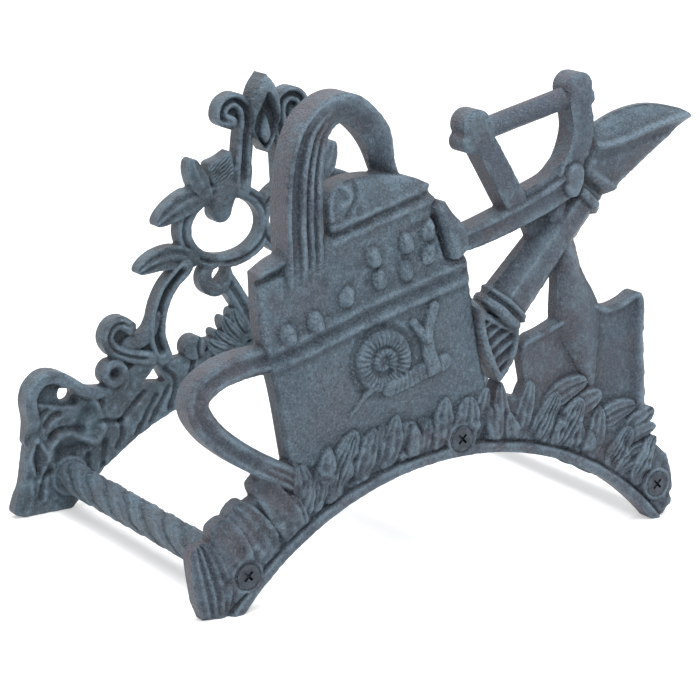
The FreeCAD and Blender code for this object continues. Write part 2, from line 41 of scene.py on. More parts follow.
# The relief is drawn in millimetres, x to the right and z up from the feet.
# The frame's origin is midway between the wall screws, on the wall.
unit = 0.001
originHeight = 61.5
gridStep = 0.6
spanSteps = 10  # points on each span of a smooth path
noMetal = -100.0  # height and edge distance before anything is drawn
farOff = 1e6
plateMargin = 8  # how far beyond its edge a plate's flank is worked out
barMargin = 7  # the same for bars, strips and leaves
sharpAngle = math.radians(48)
plateBack = {"front": -181.0, "back": 0.0}
screwSpots = [(-120, 18), (0, 63), (120, 18)]
screwSeat = {"hole": 3.4, "rim": 6.05, "height": 9.0, "frontFlat": 7.4, "backFlat": 9.6}


# A smooth curve through a few points: each span is a cubic whose slope at an end is half the step between
# that end's two neighbours.
def smoothPath(points, closed=False):
    p = np.array(points, float)
    if len(p) == 2 and not closed:
        return p
    if closed:
        ring = np.vstack([p[-1:], p, p[:2]])
    else:
        ring = np.vstack([2 * p[:1] - p[1:2], p, 2 * p[-1:] - p[-2:-1]])
    a, b, c, d = (v[:, None, :] for v in (ring[:-3], ring[1:-2], ring[2:-1], ring[3:]))
    u = np.linspace(0, 1, spanSteps, endpoint=False)[None, :, None]
    square = (2 * a - 5 * b + 4 * c - d) * u ** 2
    cube = (3 * b - a - 3 * c + d) * u ** 3
    run = (0.5 * (2 * b + (c - a) * u + square + cube)).reshape(-1, 2)
    return run if closed else np.vstack([run, p[-1:]])


# A closed edge made of runs that meet at corners, each smooth within itself. A run starts where the one
# before it ends, and a run of one point is straight.
def cornered(*runs, start=None):
    starts = [start or runs[-1][-1]] + [run[-1] for run in runs[:-1]]
    return np.vstack([smoothPath([first, *run])[:-1] for first, run in zip(starts, runs)])


# evenly spaced lines of the grid from low to just past high
def gridLines(low, high):
    return np.arange(low, high + gridStep, gridStep)


# a closed edge from one run on the left of the middle line and its mirror image
def mirrored(side):
    return cornered(side[1:], [(-x, z) for x, z in side[-2::-1]])


# 0 at low, 1 at high and a smooth S between them, level beyond
def ease(value, low, high):
    u = np.clip((value - low) / (high - low), 0, 1)
    return u * u * (3 - 2 * u)


# soft random hills: normal draws on a coarse grid of the given spacing, eased from one to the next
def waves(shape, step, spacing, seed):
    rng = np.random.default_rng(seed)
    count = [int(n * step / spacing) + 3 for n in shape]
    coarse = rng.normal(0, 1, count)
    at = [np.arange(n) * step / spacing for n in shape]
    low = [a.astype(int) for a in at]
    mix = [(a - l) * (a - l) * (3 - 2 * (a - l)) for a, l in zip(at, low)]
    i, j = low[0][:, None], low[1][None, :]
    u, v = mix[0][:, None], mix[1][None, :]
    near = coarse[i, j] * (1 - u) + coarse[i + 1, j] * u
    far = coarse[i, j + 1] * (1 - u) + coarse[i + 1, j + 1] * u
    return near * (1 - v) + far * v


# mean over a square of cells, by running sums
def blurred(field, cells):
    size = 2 * cells + 1
    out = field
    for axis in (0, 1):
        pad = [(0, 0), (0, 0)]
        pad[axis] = (cells + 1, cells)
        total = np.cumsum(np.pad(out, pad, mode="edge"), axis=axis)
        head = [slice(None), slice(None)]
        tail = [slice(None), slice(None)]
        head[axis] = slice(size, None)
        tail[axis] = slice(None, -size)
        out = (total[tuple(head)] - total[tuple(tail)]) / size
    return out


# A casting is two height fields over one grid, front and back, inside the zero line of a distance field.
class Relief:
    def __init__(self, columns, rows, sand):
        self.x, self.z = columns, rows
        self.gridX, self.gridZ = np.meshgrid(columns, rows, indexing="ij")
        self.edge = np.full(self.gridX.shape, noMetal)
        self.front = np.full(self.gridX.shape, noMetal)
        self.back = np.zeros(self.gridX.shape)
        self.sand = np.full(self.gridX.shape, sand)

    # the part of the grid that holds these points, with a margin round them
    def window(self, points, margin):
        low = np.min(points, axis=0) - margin
        high = np.max(points, axis=0) + margin
        i = np.searchsorted(self.x, [low[0], high[0]])
        j = np.searchsorted(self.z, [low[1], high[1]])
        return np.s_[i[0]:i[1], j[0]:j[1]]

    # x and z of the points there
    def at(self, spot):
        return self.gridX[spot], self.gridZ[spot]

    # offsets from one place
    def around(self, x, z, margin):
        spot = self.window([(x, z)], margin)
        return spot, self.gridX[spot] - x, self.gridZ[spot] - z

    # distance along a straight run, distance off it to the left, and the run's length
    def lengthwise(self, start, end, margin):
        run = np.subtract(end, start)
        length = np.hypot(*run)
        spot = self.window([start, end], margin)
        dx = self.gridX[spot] - start[0]
        dz = self.gridZ[spot] - start[1]
        way = (dx * run[0] + dz * run[1]) / length
        off = (dz * run[0] - dx * run[1]) / length
        return spot, way, off, length

    # distance to a path, share of the way along it, and the same distance signed by side
    def along(self, path, margin):
        spot = self.window(path, margin)
        px, pz = self.at(spot)
        near = np.full(px.shape, farOff)
        share = np.zeros(px.shape)
        side = np.zeros(px.shape)
        spans = np.hypot(*np.diff(path, axis=0).T)
        starts = np.concatenate([[0], np.cumsum(spans)])
        for a, b, start, span in zip(path[:-1], path[1:], starts, spans):
            run = b - a
            u = np.clip(((px - a[0]) * run[0] + (pz - a[1]) * run[1]) / span ** 2, 0, 1)
            dx = px - a[0] - u * run[0]
            dz = pz - a[1] - u * run[1]
            gap = np.hypot(dx, dz)
            closer = gap < near
            near = np.where(closer, gap, near)
            share = np.where(closer, (start + u * span) / starts[-1], share)
            side = np.where(closer, np.sign(run[0] * dz - run[1] * dx) * gap, side)
        return spot, near, share, side

    # distance inside a closed edge, negative outside it, by counting the sides crossed
    def inside(self, ring):
        spot = self.window(ring, plateMargin)
        px, pz = self.at(spot)
        near = np.full(px.shape, farOff)
        odd = np.zeros(px.shape, bool)
        for a, b in zip(ring, np.roll(ring, -1, axis=0)):
            run = b - a
            u = np.clip(((px - a[0]) * run[0] + (pz - a[1]) * run[1]) / max(run @ run, 1e-9), 0, 1)
            near = np.minimum(near, np.hypot(px - a[0] - u * run[0], pz - a[1] - u * run[1]))
            if a[1] != b[1]:
                crosses = (a[1] > pz) != (b[1] > pz)
                odd ^= crosses & (px < a[0] + (pz - a[1]) * run[0] / run[1])
        return spot, np.where(odd, near, -near)

    # lays a hill over what is there: its own height inside, a steep flank outside, softly joined
    def add(self, spot, d, height, flank=4.0, blend=0.7):
        hill = height + flank * np.minimum(d, 0)
        old = self.front[spot]
        mix = np.clip(0.5 + 0.5 * (hill - old) / blend, 0, 1)
        self.front[spot] = old + (hill - old) * mix + blend * mix * (1 - mix)
        self.edge[spot] = np.maximum(self.edge[spot], d)

    # sets a height inside an edge, whatever is there
    def level(self, spot, d, height, soft):
        self.front[spot] += (height - self.front[spot]) * ease(d, -soft, 0)

    # adds soft random hills, as much as share says
    def roughen(self, amount, spacing, seed, share):
        self.front = self.front + amount * waves(self.front.shape, gridStep, spacing, seed) * share


# height that rounds over from top - drop at the edge to top, on a quarter circle
def rounded(d, top, drop, reach):
    u = 1 - np.clip(d / reach, 0, 1)
    return top - drop * (1 - np.sqrt(1 - u * u))


# A band along a path whose width changes evenly from end to end: the distance inside it,
# the share of the way along it, the place across it from -1 to 1, and half its width.
def swath(relief, points, widths):
    spot, near, share, side = relief.along(smoothPath(points), max(widths) / 2 + barMargin)
    half = 0.5 * (widths[0] + (widths[1] - widths[0]) * share)
    return spot, half - near, share, side / half, half


# a bar along a path, rounded at its sides, carved along its top and sunk at its two ends
def bar(relief, points, widths, top, drop, reach, carve=None, sinks=(0.0, 0.0)):
    spot, d, share, t, half = swath(relief, points, widths)
    height = rounded(d, top, drop, np.minimum(reach, half))
    height = height - sinks[0] * (1 - ease(share, 0.0, 0.14)) - sinks[1] * ease(share, 0.84, 1.0)
    if carve is not None:
        height = height + carve(t, share)
    relief.add(spot, d, height)


# a round knob: a bar too short to show its length
def knob(relief, x, z, radius, top, drop, reach, half=0.3):
    bar(relief, [(x - half, z), (x + half, z)], (2 * radius, 2 * radius), top, drop, reach)


# a plate inside a closed edge, rounded over at the edge and carved on top
def plate(relief, ring, top, drop=1.5, reach=2.0, carve=None):
    spot, d = relief.inside(ring)
    height = rounded(d, top, drop, reach)
    if carve is not None:
        height = height + carve(*relief.at(spot), d)
    relief.add(spot, d, height)


# ridges, or grooves where the amount is below 0, each with a bell-shaped section: points, width, amount
def lines(relief, table):
    for points, width, amount in table:
        spot, near = relief.along(smoothPath(points), 3 * width)[:2]
        relief.front[spot] += amount * np.exp(-(near / width) ** 2)


# a raised strip that rides on a softened copy of the surface under it
def strip(relief, points, widths, lift, carve=None):
    spot, d, share, t, half = swath(relief, points, widths)
    height = blurred(relief.front[spot], 5) + rounded(d, lift, 0.6 * lift, half)
    if carve is not None:
        height = height + carve(t, share)
    relief.add(spot, d, height, flank=2.5, blend=0.3)


# an oval lump: amount times (1 - r to a power) to the 0.7, where r is 1 on the oval
def bump(relief, x, z, wide, tall, turn, amount, power=2.0):
    spot, dx, dz = relief.around(x, z, 2 * max(wide, tall))
    c, s = math.cos(turn), math.sin(turn)
    r = np.hypot((dx * c + dz * s) / wide, (dz * c - dx * s) / tall)
    relief.front[spot] += amount * np.clip(1 - r ** power, 0, 1) ** 0.7


# A leaf along a bowed midrib. It rides on a softened copy of what it lies on, stands off it by lift, and
# fades at its root. Ribs are grooves along it, and a leaf without ribs has a crest instead. The crest of a
# leaning leaf lies off its middle, with one long plain slope.
def leaf(relief, root, tip, width, lift, bow, ribs, depth, blunt, floor=7.5, lean=0.0):
    root = np.array(root, float)
    reach = np.array(tip, float) - root
    u = np.linspace(0, 1, 12)[:, None]
    path = root + reach * u + np.array([-reach[1], reach[0]]) * bow * 4 * u * (1 - u)
    spot, near, share, side = relief.along(path, width / 2 + barMargin)
    half = 0.5 * width * np.minimum(1, 0.66 + 1.1 * share) * (1 - share ** 2.4) ** blunt + 0.05
    t = np.clip(side / half, -1, 1)
    s = np.where(t > lean, (t - lean) / (1 - lean), (t - lean) / (1 + lean))
    section = 0.25 + 0.75 * np.sqrt(1 - 0.92 * s * s)
    if lean > 0:
        section = np.where(s < 0, 1 + 0.62 * s, section)
    body = section * (0.3 + 0.7 * ease(share, 0.0, 0.35)) * (1 - 0.25 * share)
    height = blurred(np.maximum(relief.front[spot], floor), 6) + lift * body
    if ribs:
        grooves = 0.5 - 0.5 * np.cos(math.pi * (ribs + 1) * (t + 1))
        height = height - depth * grooves * (1 - t * t) * ease(share, 0.0, 0.2)
    else:
        height = height + 0.6 * np.exp(-(s / 0.22) ** 2) * ease(share, 0.0, 0.3)
    relief.add(spot, half - near, height, flank=3.0, blend=0.3)


# Each screw has a flat round seat on the front and a hole. Its cone goes in from the front with a thin
# groove round it, or from the wall side.
def seats(relief, flat, soft, margin, fromWall):
    top, rim = screwSeat["height"], screwSeat["rim"]
    for x, z in screwSpots:
        spot, dx, dz = relief.around(x, z, margin)
        r = np.hypot(dx, dz)
        relief.level(spot, flat - r, top, soft)
        cone = np.clip(rim - r, 0, None)
        if fromWall:
            relief.back[spot] = np.where(r < rim, cone, relief.back[spot])
        else:
            groove = 0.8 * np.exp(-((r - rim - 0.3) / 0.6) ** 2)
            relief.front[spot] = np.where(r < rim, top - cone, relief.front[spot] - groove)
        relief.edge[spot] = np.minimum(relief.edge[spot], r - screwSeat["hole"])


# cast skin: height and spacing of its two sizes of hills, the thinnest metal, how many cells beyond the edge
# take a height, how many cells a point may slide, and how the edge is evened out
skinLook = {"hills": [(0.11, 1.9), (0.12, 5.0)], "thinnest": 1.0, "beyond": 4, "slide": 1.1,
            "even": (0.5, -0.53) * 14}


# Skins a relief. Grid cells inside the edge make the front and the back, boundary points slide onto the
# edge down its slope, and a wall joins the two along it.
def skinned(name, relief, backY, faces, seed, extra=None):
    edge = relief.edge
    front = relief.front.copy()
    known = edge > 0
    neighbours = [(di, dj) for di in (-1, 0, 1) for dj in (-1, 0, 1)]
    for ring in range(skinLook["beyond"]):
        total = np.zeros(front.shape)
        count = np.zeros(front.shape)
        for shift in neighbours:
            total += np.roll(np.where(known, front, 0), shift, (0, 1))
            count += np.roll(known, shift, (0, 1))
        fresh = ~known & (count > 0)
        front[fresh] = total[fresh] / count[fresh]
        known = known | fresh
    front[~known] = 0
    for step, (amount, spacing) in enumerate(skinLook["hills"]):
        front = front + amount * waves(front.shape, gridStep, spacing, seed + step)
    front = np.maximum(front, relief.back + skinLook["thinnest"])
    middle = 0.25 * (edge[:-1, :-1] + edge[1:, :-1] + edge[:-1, 1:] + edge[1:, 1:])
    kept = middle > 0
    used = np.zeros(edge.shape, bool)
    full = np.ones(edge.shape, bool)
    for di, dj in ((0, 0), (0, 1), (1, 0), (1, 1)):
        corner = np.s_[di:edge.shape[0] - 1 + di, dj:edge.shape[1] - 1 + dj]
        used[corner] |= kept
        full[corner] &= kept
    full[0, :] = full[-1, :] = full[:, 0] = full[:, -1] = False
    slopeX, slopeZ = np.gradient(edge, gridStep)
    steep = np.maximum(slopeX ** 2 + slopeZ ** 2, 0.3)
    most = skinLook["slide"] * gridStep
    slide = np.where(used & ~full, np.clip(edge, -most, most) / steep, 0)
    x = relief.gridX - slide * slopeX
    z = relief.gridZ - slide * slopeZ
    count = int(used.sum())
    index = np.full(edge.shape, -1)
    index[used] = np.arange(count)
    corners = (index[:-1, :-1], index[1:, :-1], index[1:, 1:], index[:-1, 1:])
    cells = np.stack([corner[kept] for corner in corners], 1)
    # a side that only one cell has is part of the edge
    sides = np.vstack([cells[:, [0, 1]], cells[:, [1, 2]], cells[:, [2, 3]], cells[:, [3, 0]]])
    codes = sides.min(1) * count + sides.max(1)
    first, times = np.unique(codes, return_index=True, return_counts=True)[1:]
    openSides = sides[first[times == 1]]
    a, b = openSides.T
    walls = np.stack([b, a, a + count, b + count], 1)
    # points along the edge are evened out with their neighbours, in place and in height, without shrinking
    points = np.stack([x[used], front[used], z[used]], 1)
    here, there = np.vstack([openSides, openSides[:, ::-1]]).T
    touches = np.bincount(here, minlength=count)
    onEdge = touches > 0
    for weight in skinLook["even"]:
        total = np.stack([np.bincount(here, points[there, axis], count) for axis in range(3)], 1)
        points[onEdge] += weight * (total[onEdge] / touches[onEdge, None] - points[onEdge])
    verts = np.zeros((2 * count, 3))
    verts[:count, 0] = verts[count:, 0] = points[:, 0]
    verts[:count, 2] = verts[count:, 2] = points[:, 2] - originHeight
    verts[:count, 1] = backY - points[:, 1]
    verts[count:, 1] = backY - relief.back[used]
    quads = np.vstack([cells, cells[:, ::-1] + count, walls])
    if extra is not None:
        quads = np.vstack([quads, extra[1] + len(verts)])
        verts = np.vstack([verts, extra[0]])
    piece = meshPiece(name, verts * unit, quads)
    thin = piece.modifiers.new("thin", "DECIMATE")
    thin.ratio = min(1.0, faces / (2 * len(quads)))
    bpy.context.view_layer.update()
    slim = bpy.data.meshes.new_from_object(piece.evaluated_get(bpy.context.evaluated_depsgraph_get()))
    piece.modifiers.clear()
    piece.data = slim
    slim.name = name
    slim.shade_smooth()
    slim.set_sharp_from_angle(angle=sharpAngle)
    paintMarks(piece, relief, front, known, backY)
    return piece


# a mesh object from arrays of points and of four corners for each face
def meshPiece(name, verts, quads):
    mesh = bpy.data.meshes.new(name)
    mesh.vertices.add(len(verts))
    mesh.vertices.foreach_set("co", np.ascontiguousarray(verts, dtype=np.float32).ravel())
    mesh.loops.add(quads.size)
    mesh.loops.foreach_set("vertex_index", quads.astype(np.int32).ravel())
    mesh.polygons.add(len(quads))
    mesh.polygons.foreach_set("loop_start", np.arange(0, quads.size, 4, dtype=np.int32))
    mesh.update(calc_edges=True)
    mesh.validate()
    piece = bpy.data.objects.new(name, mesh)
    bpy.context.scene.collection.objects.link(piece)
    return piece


# reach of the near and the wide surroundings in cells, and the heights at which a mark is full
markLook = {"near": 2, "wide": 6, "nearDeep": 0.5, "wideDeep": 1.9, "nearCrest": 0.45, "wideCrest": 1.7}


# Marks for the material, from the height field: how deep a point lies under its surroundings, which the
# material paints as shade, and how far it stands out from them or how near the edge it is, which it paints
# with rub and a highlight.
def paintMarks(piece, relief, front, known, backY):
    mesh = piece.data
    co = np.zeros(len(mesh.vertices) * 3, np.float32)
    mesh.vertices.foreach_get("co", co)
    co = co.reshape(-1, 3) / unit
    inside = known.astype(float)

    def meanOver(cells):
        weight = np.maximum(blurred(blurred(inside, cells), cells), 1e-3)
        return blurred(blurred(front * inside, cells), cells) / weight

    def mark(height, full):
        return np.clip(height / full, 0, 1)

    near, wide = meanOver(markLook["near"]), meanOver(markLook["wide"])
    deep = 0.8 * mark(near - front, markLook["nearDeep"])
    deep = np.maximum(deep, mark(wide - front, markLook["wideDeep"]))
    # points near the edge count as crests too, for the painted highlight along the edges
    atEdge = 0.9 * np.exp(-np.maximum(relief.edge, 0) ** 2)
    crest = np.maximum(mark(front - near, markLook["nearCrest"]), atEdge)
    crest = np.maximum(crest, 0.7 * mark(front - wide, markLook["wideCrest"]))
    i = np.rint((co[:, 0] - relief.x[0]) / gridStep).astype(int)
    j = np.rint((co[:, 2] + originHeight - relief.z[0]) / gridStep).astype(int)
    cell = np.clip(i, 0, len(relief.x) - 1), np.clip(j, 0, len(relief.z) - 1)
    onFront = (backY - co[:, 1] > 0.5 * front[cell]) & (relief.edge[cell] > -1.0)
    addMarks(mesh, deep[cell] * onFront, crest[cell] * onFront, relief.sand[cell])


# one number for each point and mark, which the materials read
def addMarks(mesh, hollow, proud, sand):
    for label, values in (("hollow", hollow), ("proud", proud), ("sand", sand)):
        mark = mesh.attributes.new(label, "FLOAT", "POINT")
        mark.data.foreach_set("value", values.astype(np.float32))


# Front casting: heights over its flat back; an arch is its middle, its crown and its radius
frontLook = {
    "bank": 7.4, "footThin": 2.6, "rimTop": 9.4, "rimWidth": 5.0, "rimHigh": 62, "arch": (-3.0, 54.5, 158.4),
    "canCrown": 14.0, "canEdge": 8.5, "canHalf": 57.0, "canTilt": math.radians(13), "canMiddle": (-52, 120),
    "canFoot": 8.2, "canFootRun": 32.0, "strap": 16.0, "strapWidths": (19.0, 11.5), "handle": 12.0,
    "brace": 12.5, "grip": 12.5, "rose": 13.0, "ear": 13.5, "web": 6.5, "root": 11.5, "blade": 7.0,
    "snailSpot": (-48.8, 110.6), "snailDisc": 1.3, "barRadius": 5.3, "barMiddle": 6.5, "barRows": 62,
    "barSides": 40, "across": (-156.0, 142.0), "upward": (-4.0, 242.0), "sand": 0.75, "seed": 11,
    "barSeed": 61, "faces": 190000,
}


# distance outside the arch's circle
def archDistance(relief, arch):
    x, crown, radius = arch
    return np.hypot(relief.gridX - x, relief.gridZ - crown + radius) - radius


# the can's bulge: its crown less a square of the distance across its tilted middle line
def canHeight(x, z):
    tilt = frontLook["canTilt"]
    middle = frontLook["canMiddle"]
    across = (x - middle[0]) * math.cos(tilt) + (z - middle[1]) * math.sin(tilt)
    share = across / frontLook["canHalf"]
    return frontLook["canCrown"] - (frontLook["canCrown"] - frontLook["canEdge"]) * share ** 2


# ground of the grass: a plate over the arch and both feet
def bankOf(relief):
    ring = cornered(
        [(-139, 0.8), (-144, 6), (-145.5, 16), (-145, 30)],
        [(-134, 42), (-122, 50), (-110, 56), (-90, 63)],
        [(-40, 70), (14, 78), (30, 79), (44, 74)],
        [(75, 67), (100, 57), (113, 50), (117, 42), (127.5, 32)],
        [(131, 18), (130, 6), (124.5, 0)],
        [(-131, 0)])
    plate(relief, ring, frontLook["bank"])
    # the left foot thins towards its outer corner
    relief.front = relief.front - frontLook["footThin"] * ease(-relief.gridX, 128, 146)


# watering can: the bulge inside two edges, body and hood, with bands, curls and drops on it
def canOf(relief):
    body = cornered(
        [(-103, 103), (-110.5, 132), (-112, 160)],
        [(-99, 166.5), (-64, 176), (-16, 184)],
        [(2.5, 153), (6, 134), (10.5, 105), (17, 76)],
        [(-96, 62)])
    spot, d = relief.inside(body)
    x, z = relief.at(spot)
    # the wall runs out into the grass at its foot
    above = z - 70 - 0.12 * (x + 40)
    foot = frontLook["canFoot"]
    crown = foot + (canHeight(x, z) - foot) * ease(above, -4, frontLook["canFootRun"])
    relief.add(spot, d, crown - 2.2 + rounded(d, 2.2, 2.2, 3.5))
    relief.sand[spot] = np.maximum(relief.sand[spot], ease(d, -2, 2))
    hood = cornered(
        [(-76.5, 190), (-69, 197), (-52, 198.5), (-30, 195), (-18, 190)],
        [(-15.5, 181)],
        [(-44, 174), (-76, 170)], start=(-76, 172))
    spot, d = relief.inside(hood)
    crown = canHeight(*relief.at(spot))
    relief.add(spot, d, crown - 4 + rounded(d, 4, 4, 8))
    relief.sand[spot] = np.maximum(relief.sand[spot], ease(d, -2, 2))
    lines(relief, [
        # a curl at the hood's left end
        ([(-75, 181), (-75.5, 191), (-71.5, 196), (-66.5, 194), (-66, 189), (-70, 187.5)], 1.8, 1.5),
        ([(-62, 197), (-62.5, 189), (-67, 182)], 1.5, -1.0)])
    # bands: two ridges with a sunk strip between them, and a double line round the hood
    low = [(-113, 121.5), (-90, 128), (-61, 137.5), (-28, 145), (2, 150)]
    high = [(-74, 170), (-46, 177), (-17, 183)]
    for path, rise, width, amount in (
            (low, 0, 1.9, 1.5), (low, -4.6, 1.7, -0.9), (low, -9, 1.9, 1.4), (low, -12.5, 2.0, -0.4),
            (high, 0, 1.6, 1.2), (high, 3.6, 1.4, -1.2), (high, 7, 1.5, 1.0)):
        lines(relief, [([(x, z + rise) for x, z in path], width, amount)])
    lines(relief, [
        # left shoulder: a ridge over a dark crescent
        ([(-113, 159), (-104, 163), (-96, 166)], 1.8, 1.6),
        ([(-112, 155.5), (-104, 158.5), (-97, 161)], 2.0, -2.6)])
    # raised drops under the shoulder: upright lumps, each a little different
    drops = [(-53.5, 161), (-50.2, 150.2), (-68, 144.5), (-34.8, 165), (-35, 152), (-21.3, 157.6),
             (-84.5, 135), (-98, 130.5), (-21, 169)]
    for place, (x, z) in enumerate(drops):
        lean = 0.45 * math.sin(2.1 * place + 0.6)
        bump(relief, x, z, 4.2, 5.6, lean, 2.4, 3.0)
        bump(relief, x + 1.2, z - 2.2, 3.2, 2.6, lean, 1.2)
        bump(relief, x - 1.5 * lean, z + 2.0, 2.2, 3.0, -lean, 1.2)
    relief.roughen(0.3, 4.5, 3, ease(relief.gridZ, 136, 150))


# The shell is a tube on a spiral, middle = start - pitch * turns, with ridges across it, on a low disc.
# The body is a ringed strip.
def snailOf(relief):
    spot, dx, dz = relief.around(*frontLook["snailSpot"], 24)
    r = np.hypot(dx, dz)
    turn = (np.arctan2(dz, dx) + 0.75) % (2 * math.pi)
    part = turn / (2 * math.pi)
    shell = frontLook["snailDisc"] * np.clip(1 - (r / 13) ** 6, 0, 1)
    # start, pitch, half width, its taper, ridges and height of the outer and the inner whorl
    whorls = [(12.0, 2.0, 4.3, 0.5, 30, 3.4), (6.0, 3.4, 3.0, 1.3, 15, 3.0)]
    for start, pitch, half, taper, ridges, top in whorls:
        dome = np.sqrt(np.clip(1 - ((r - (start - pitch * part)) / (half - taper * part)) ** 2, 0, 1))
        shell = np.maximum(shell, top * dome * (0.86 + 0.14 * np.cos(ridges * turn - 0.12 * r)))
    relief.front[spot] += shell
    relief.front[spot] += -0.7 * np.exp(-((r - 17) / 1.6) ** 2)

    def rings(t, share):
        return 0.4 * np.sin(75 * share) * (1 - 0.5 * share)

    strip(relief, [(-56, 97.5), (-61, 92.5), (-65.5, 87)], (3.0, 1.6), 1.3)
    strip(relief, [(-45, 97.5), (-36, 99.5), (-25, 102.5), (-13, 104.5)], (8.5, 8.0), 2.4, rings)
    strip(relief, [(-21, 103.5), (-22.5, 112), (-24, 120.5)], (8.0, 6.6), 2.2)
    strip(relief, [(-25, 118.5), (-28, 122.5), (-31, 126.5)], (4.6, 4.2), 2.0)
    strip(relief, [(-24, 118.5), (-21.5, 125), (-18.5, 132)], (5.2, 5.6), 2.2)


# Top handle: a band that narrows along its arch. Left leg: a sunk band beside the outer edge, then narrow
# ridges. Right leg: plain, sloping to its inner edge.
def strapOf(relief):
    points = [(-87, 141), (-89, 160), (-90, 180), (-89, 203), (-84.5, 220), (-75, 229.5), (-64.5, 231),
              (-54.5, 224), (-46, 212), (-39, 194)]
    spot, near, share, side = relief.along(smoothPath(points), 18)
    wide, slim = frontLook["strapWidths"]
    half = 0.5 * (wide + (slim - wide) * ease(share, 0.25, 0.95))
    d = half - near
    t = side / half
    fluted = ease(share, 0.05, 0.2) * (1 - ease(share, 0.46, 0.66))
    band = 2.4 * ease(t, 0.16, 0.3) * (1 - ease(t, 0.68, 0.8))
    cuts = 1.9 * np.exp(-((t + 0.16) / 0.09) ** 2) + 1.7 * np.exp(-((t + 0.58) / 0.1) ** 2)
    flutes = -fluted * (band + cuts)
    slope = -4.5 * ease(share, 0.45, 0.7) * ease(-t, -0.75, 0.9)
    sink = 6.5 * (1 - ease(share, -0.02, 0.18)) + 8.5 * ease(share, 0.80, 0.98)
    relief.add(spot, d, rounded(d, frontLook["strap"], 2.2, 2.4) + flutes + slope - sink, flank=5.0)


# side handle: a bar with a ridge and a trough along its loop, and veins where it roots in the grass
def handleOf(relief):
    points = [(-105, 119), (-119, 119), (-133, 116), (-143, 109.5), (-144.5, 101), (-138, 90.5),
              (-127, 80.5), (-114, 71.5), (-101.5, 64), (-90, 57), (-80, 51)]

    def trough(t, share):
        loop = 1.1 * np.exp(-((t - 0.55) / 0.22) ** 2) - 0.9 * np.exp(-((t + 0.15) / 0.35) ** 2)
        veins = 0.7 * np.cos(3 * math.pi * t)
        root = ease(share, 0.68, 0.8)
        return loop * (1 - root) + (0.6 * veins - 3.6 * ease(share, 0.74, 1.0)) * root

    bar(relief, points, (12.0, 10.5), frontLook["handle"], 2.2, 2.8, trough, (3.5, 0.6))


# The spout's section is a flat front between two sloping sides; the collars are bands across it.
def spoutOf(relief):
    spot, way, off, length = relief.lengthwise((22.0, 119.5), (74.5, 173.5), 24)
    bands = np.zeros(way.shape)
    for start, stop in ((0.0, 4.2), (6.4, 9.0), (length - 4.6, length)):
        collar = ease(way, start - 0.4, start + 0.8) * (1 - ease(way, stop - 0.8, stop + 0.4))
        bands = np.maximum(bands, collar)
    radius = 13.0 - 3.2 * np.clip(way / length, 0, 1) + 1.3 * bands
    t = np.clip(np.abs(off) / radius, 0, 1)
    d = np.minimum(np.minimum(radius - np.abs(off), way + 0.5), length - way + 0.5)
    side = np.clip((t - 0.42) / 0.58, 0, 1)
    height = 2.5 + radius * 0.86 * (1 - 0.72 * side ** 1.2) + 1.3 * bands
    relief.add(spot, d, height, flank=5.0)
    # ribbed root that bends down to the foot of the can
    ring = cornered(
        [(10, 112), (15, 98), (20.5, 88)],
        [(27, 95), (31.5, 104), (32.5, 113)],
        [(7.5, 127)])
    spot, d = relief.inside(ring)
    x, z = relief.at(spot)
    wave = np.cos(2 * math.pi * ((x - 8) * 0.52 - (z - 127) * 0.85) / 5.4)
    border = ease(d, 2.6, 4.0)
    relief.add(spot, d, rounded(d, frontLook["root"], 2.0, 2.5) - 2.0 * border + wave * border, flank=5.0)


# Rose: a cone up to a raised lip and a dish that falls away above it
def roseOf(relief):
    ring = cornered(
        [(93.5, 177.5), (112, 190.7), (134.5, 205.5)],
        [(129, 210), (112, 213), (95, 211), (79, 205)],
        [(74, 192), (64, 178)],
        [(78, 167.5)])
    spot, d = relief.inside(ring)
    x, z = relief.at(spot)
    brim = smoothPath([(60, 203), (68, 199.7), (78.5, 197.3), (92.5, 198.6), (110, 203.1), (130, 206.6),
                       (140, 207.5)])
    lip = np.interp(x, brim[:, 0], brim[:, 1])
    above = np.clip((z - lip) / 11.0, 0, 1)
    below = np.clip((lip - z) / 34.0, 0, 1)
    edge = 1.9 * np.exp(-((z - lip) / 1.5) ** 2)
    dish = frontLook["rose"] - 9.5 * above ** 0.75
    cone = frontLook["rose"] - 0.6 - 4.2 * below ** 1.2 - 0.8 * np.exp(-((lip - z - 5.0) / 2.2) ** 2)
    height = np.where(z > lip, dish, cone) + edge
    relief.add(spot, d, height - 2.0 + rounded(d, 2.0, 2.0, 2.6), flank=5.0)
    # the dish above the lip takes more sand, hence more rub and pale specks: a painted highlight, lighter
    # where the top light falls on it
    relief.sand[spot] = np.where((d > 0) & (z > lip - 2.0), 1.05, relief.sand[spot])
    # ring round the neck, with a dark seam under it
    lines(relief, [
        ([(68.5, 183), (77, 177), (85, 171)], 1.5, -2.0),
        ([(71.5, 186), (80, 181), (89.5, 174.5)], 2.3, 2.2)])


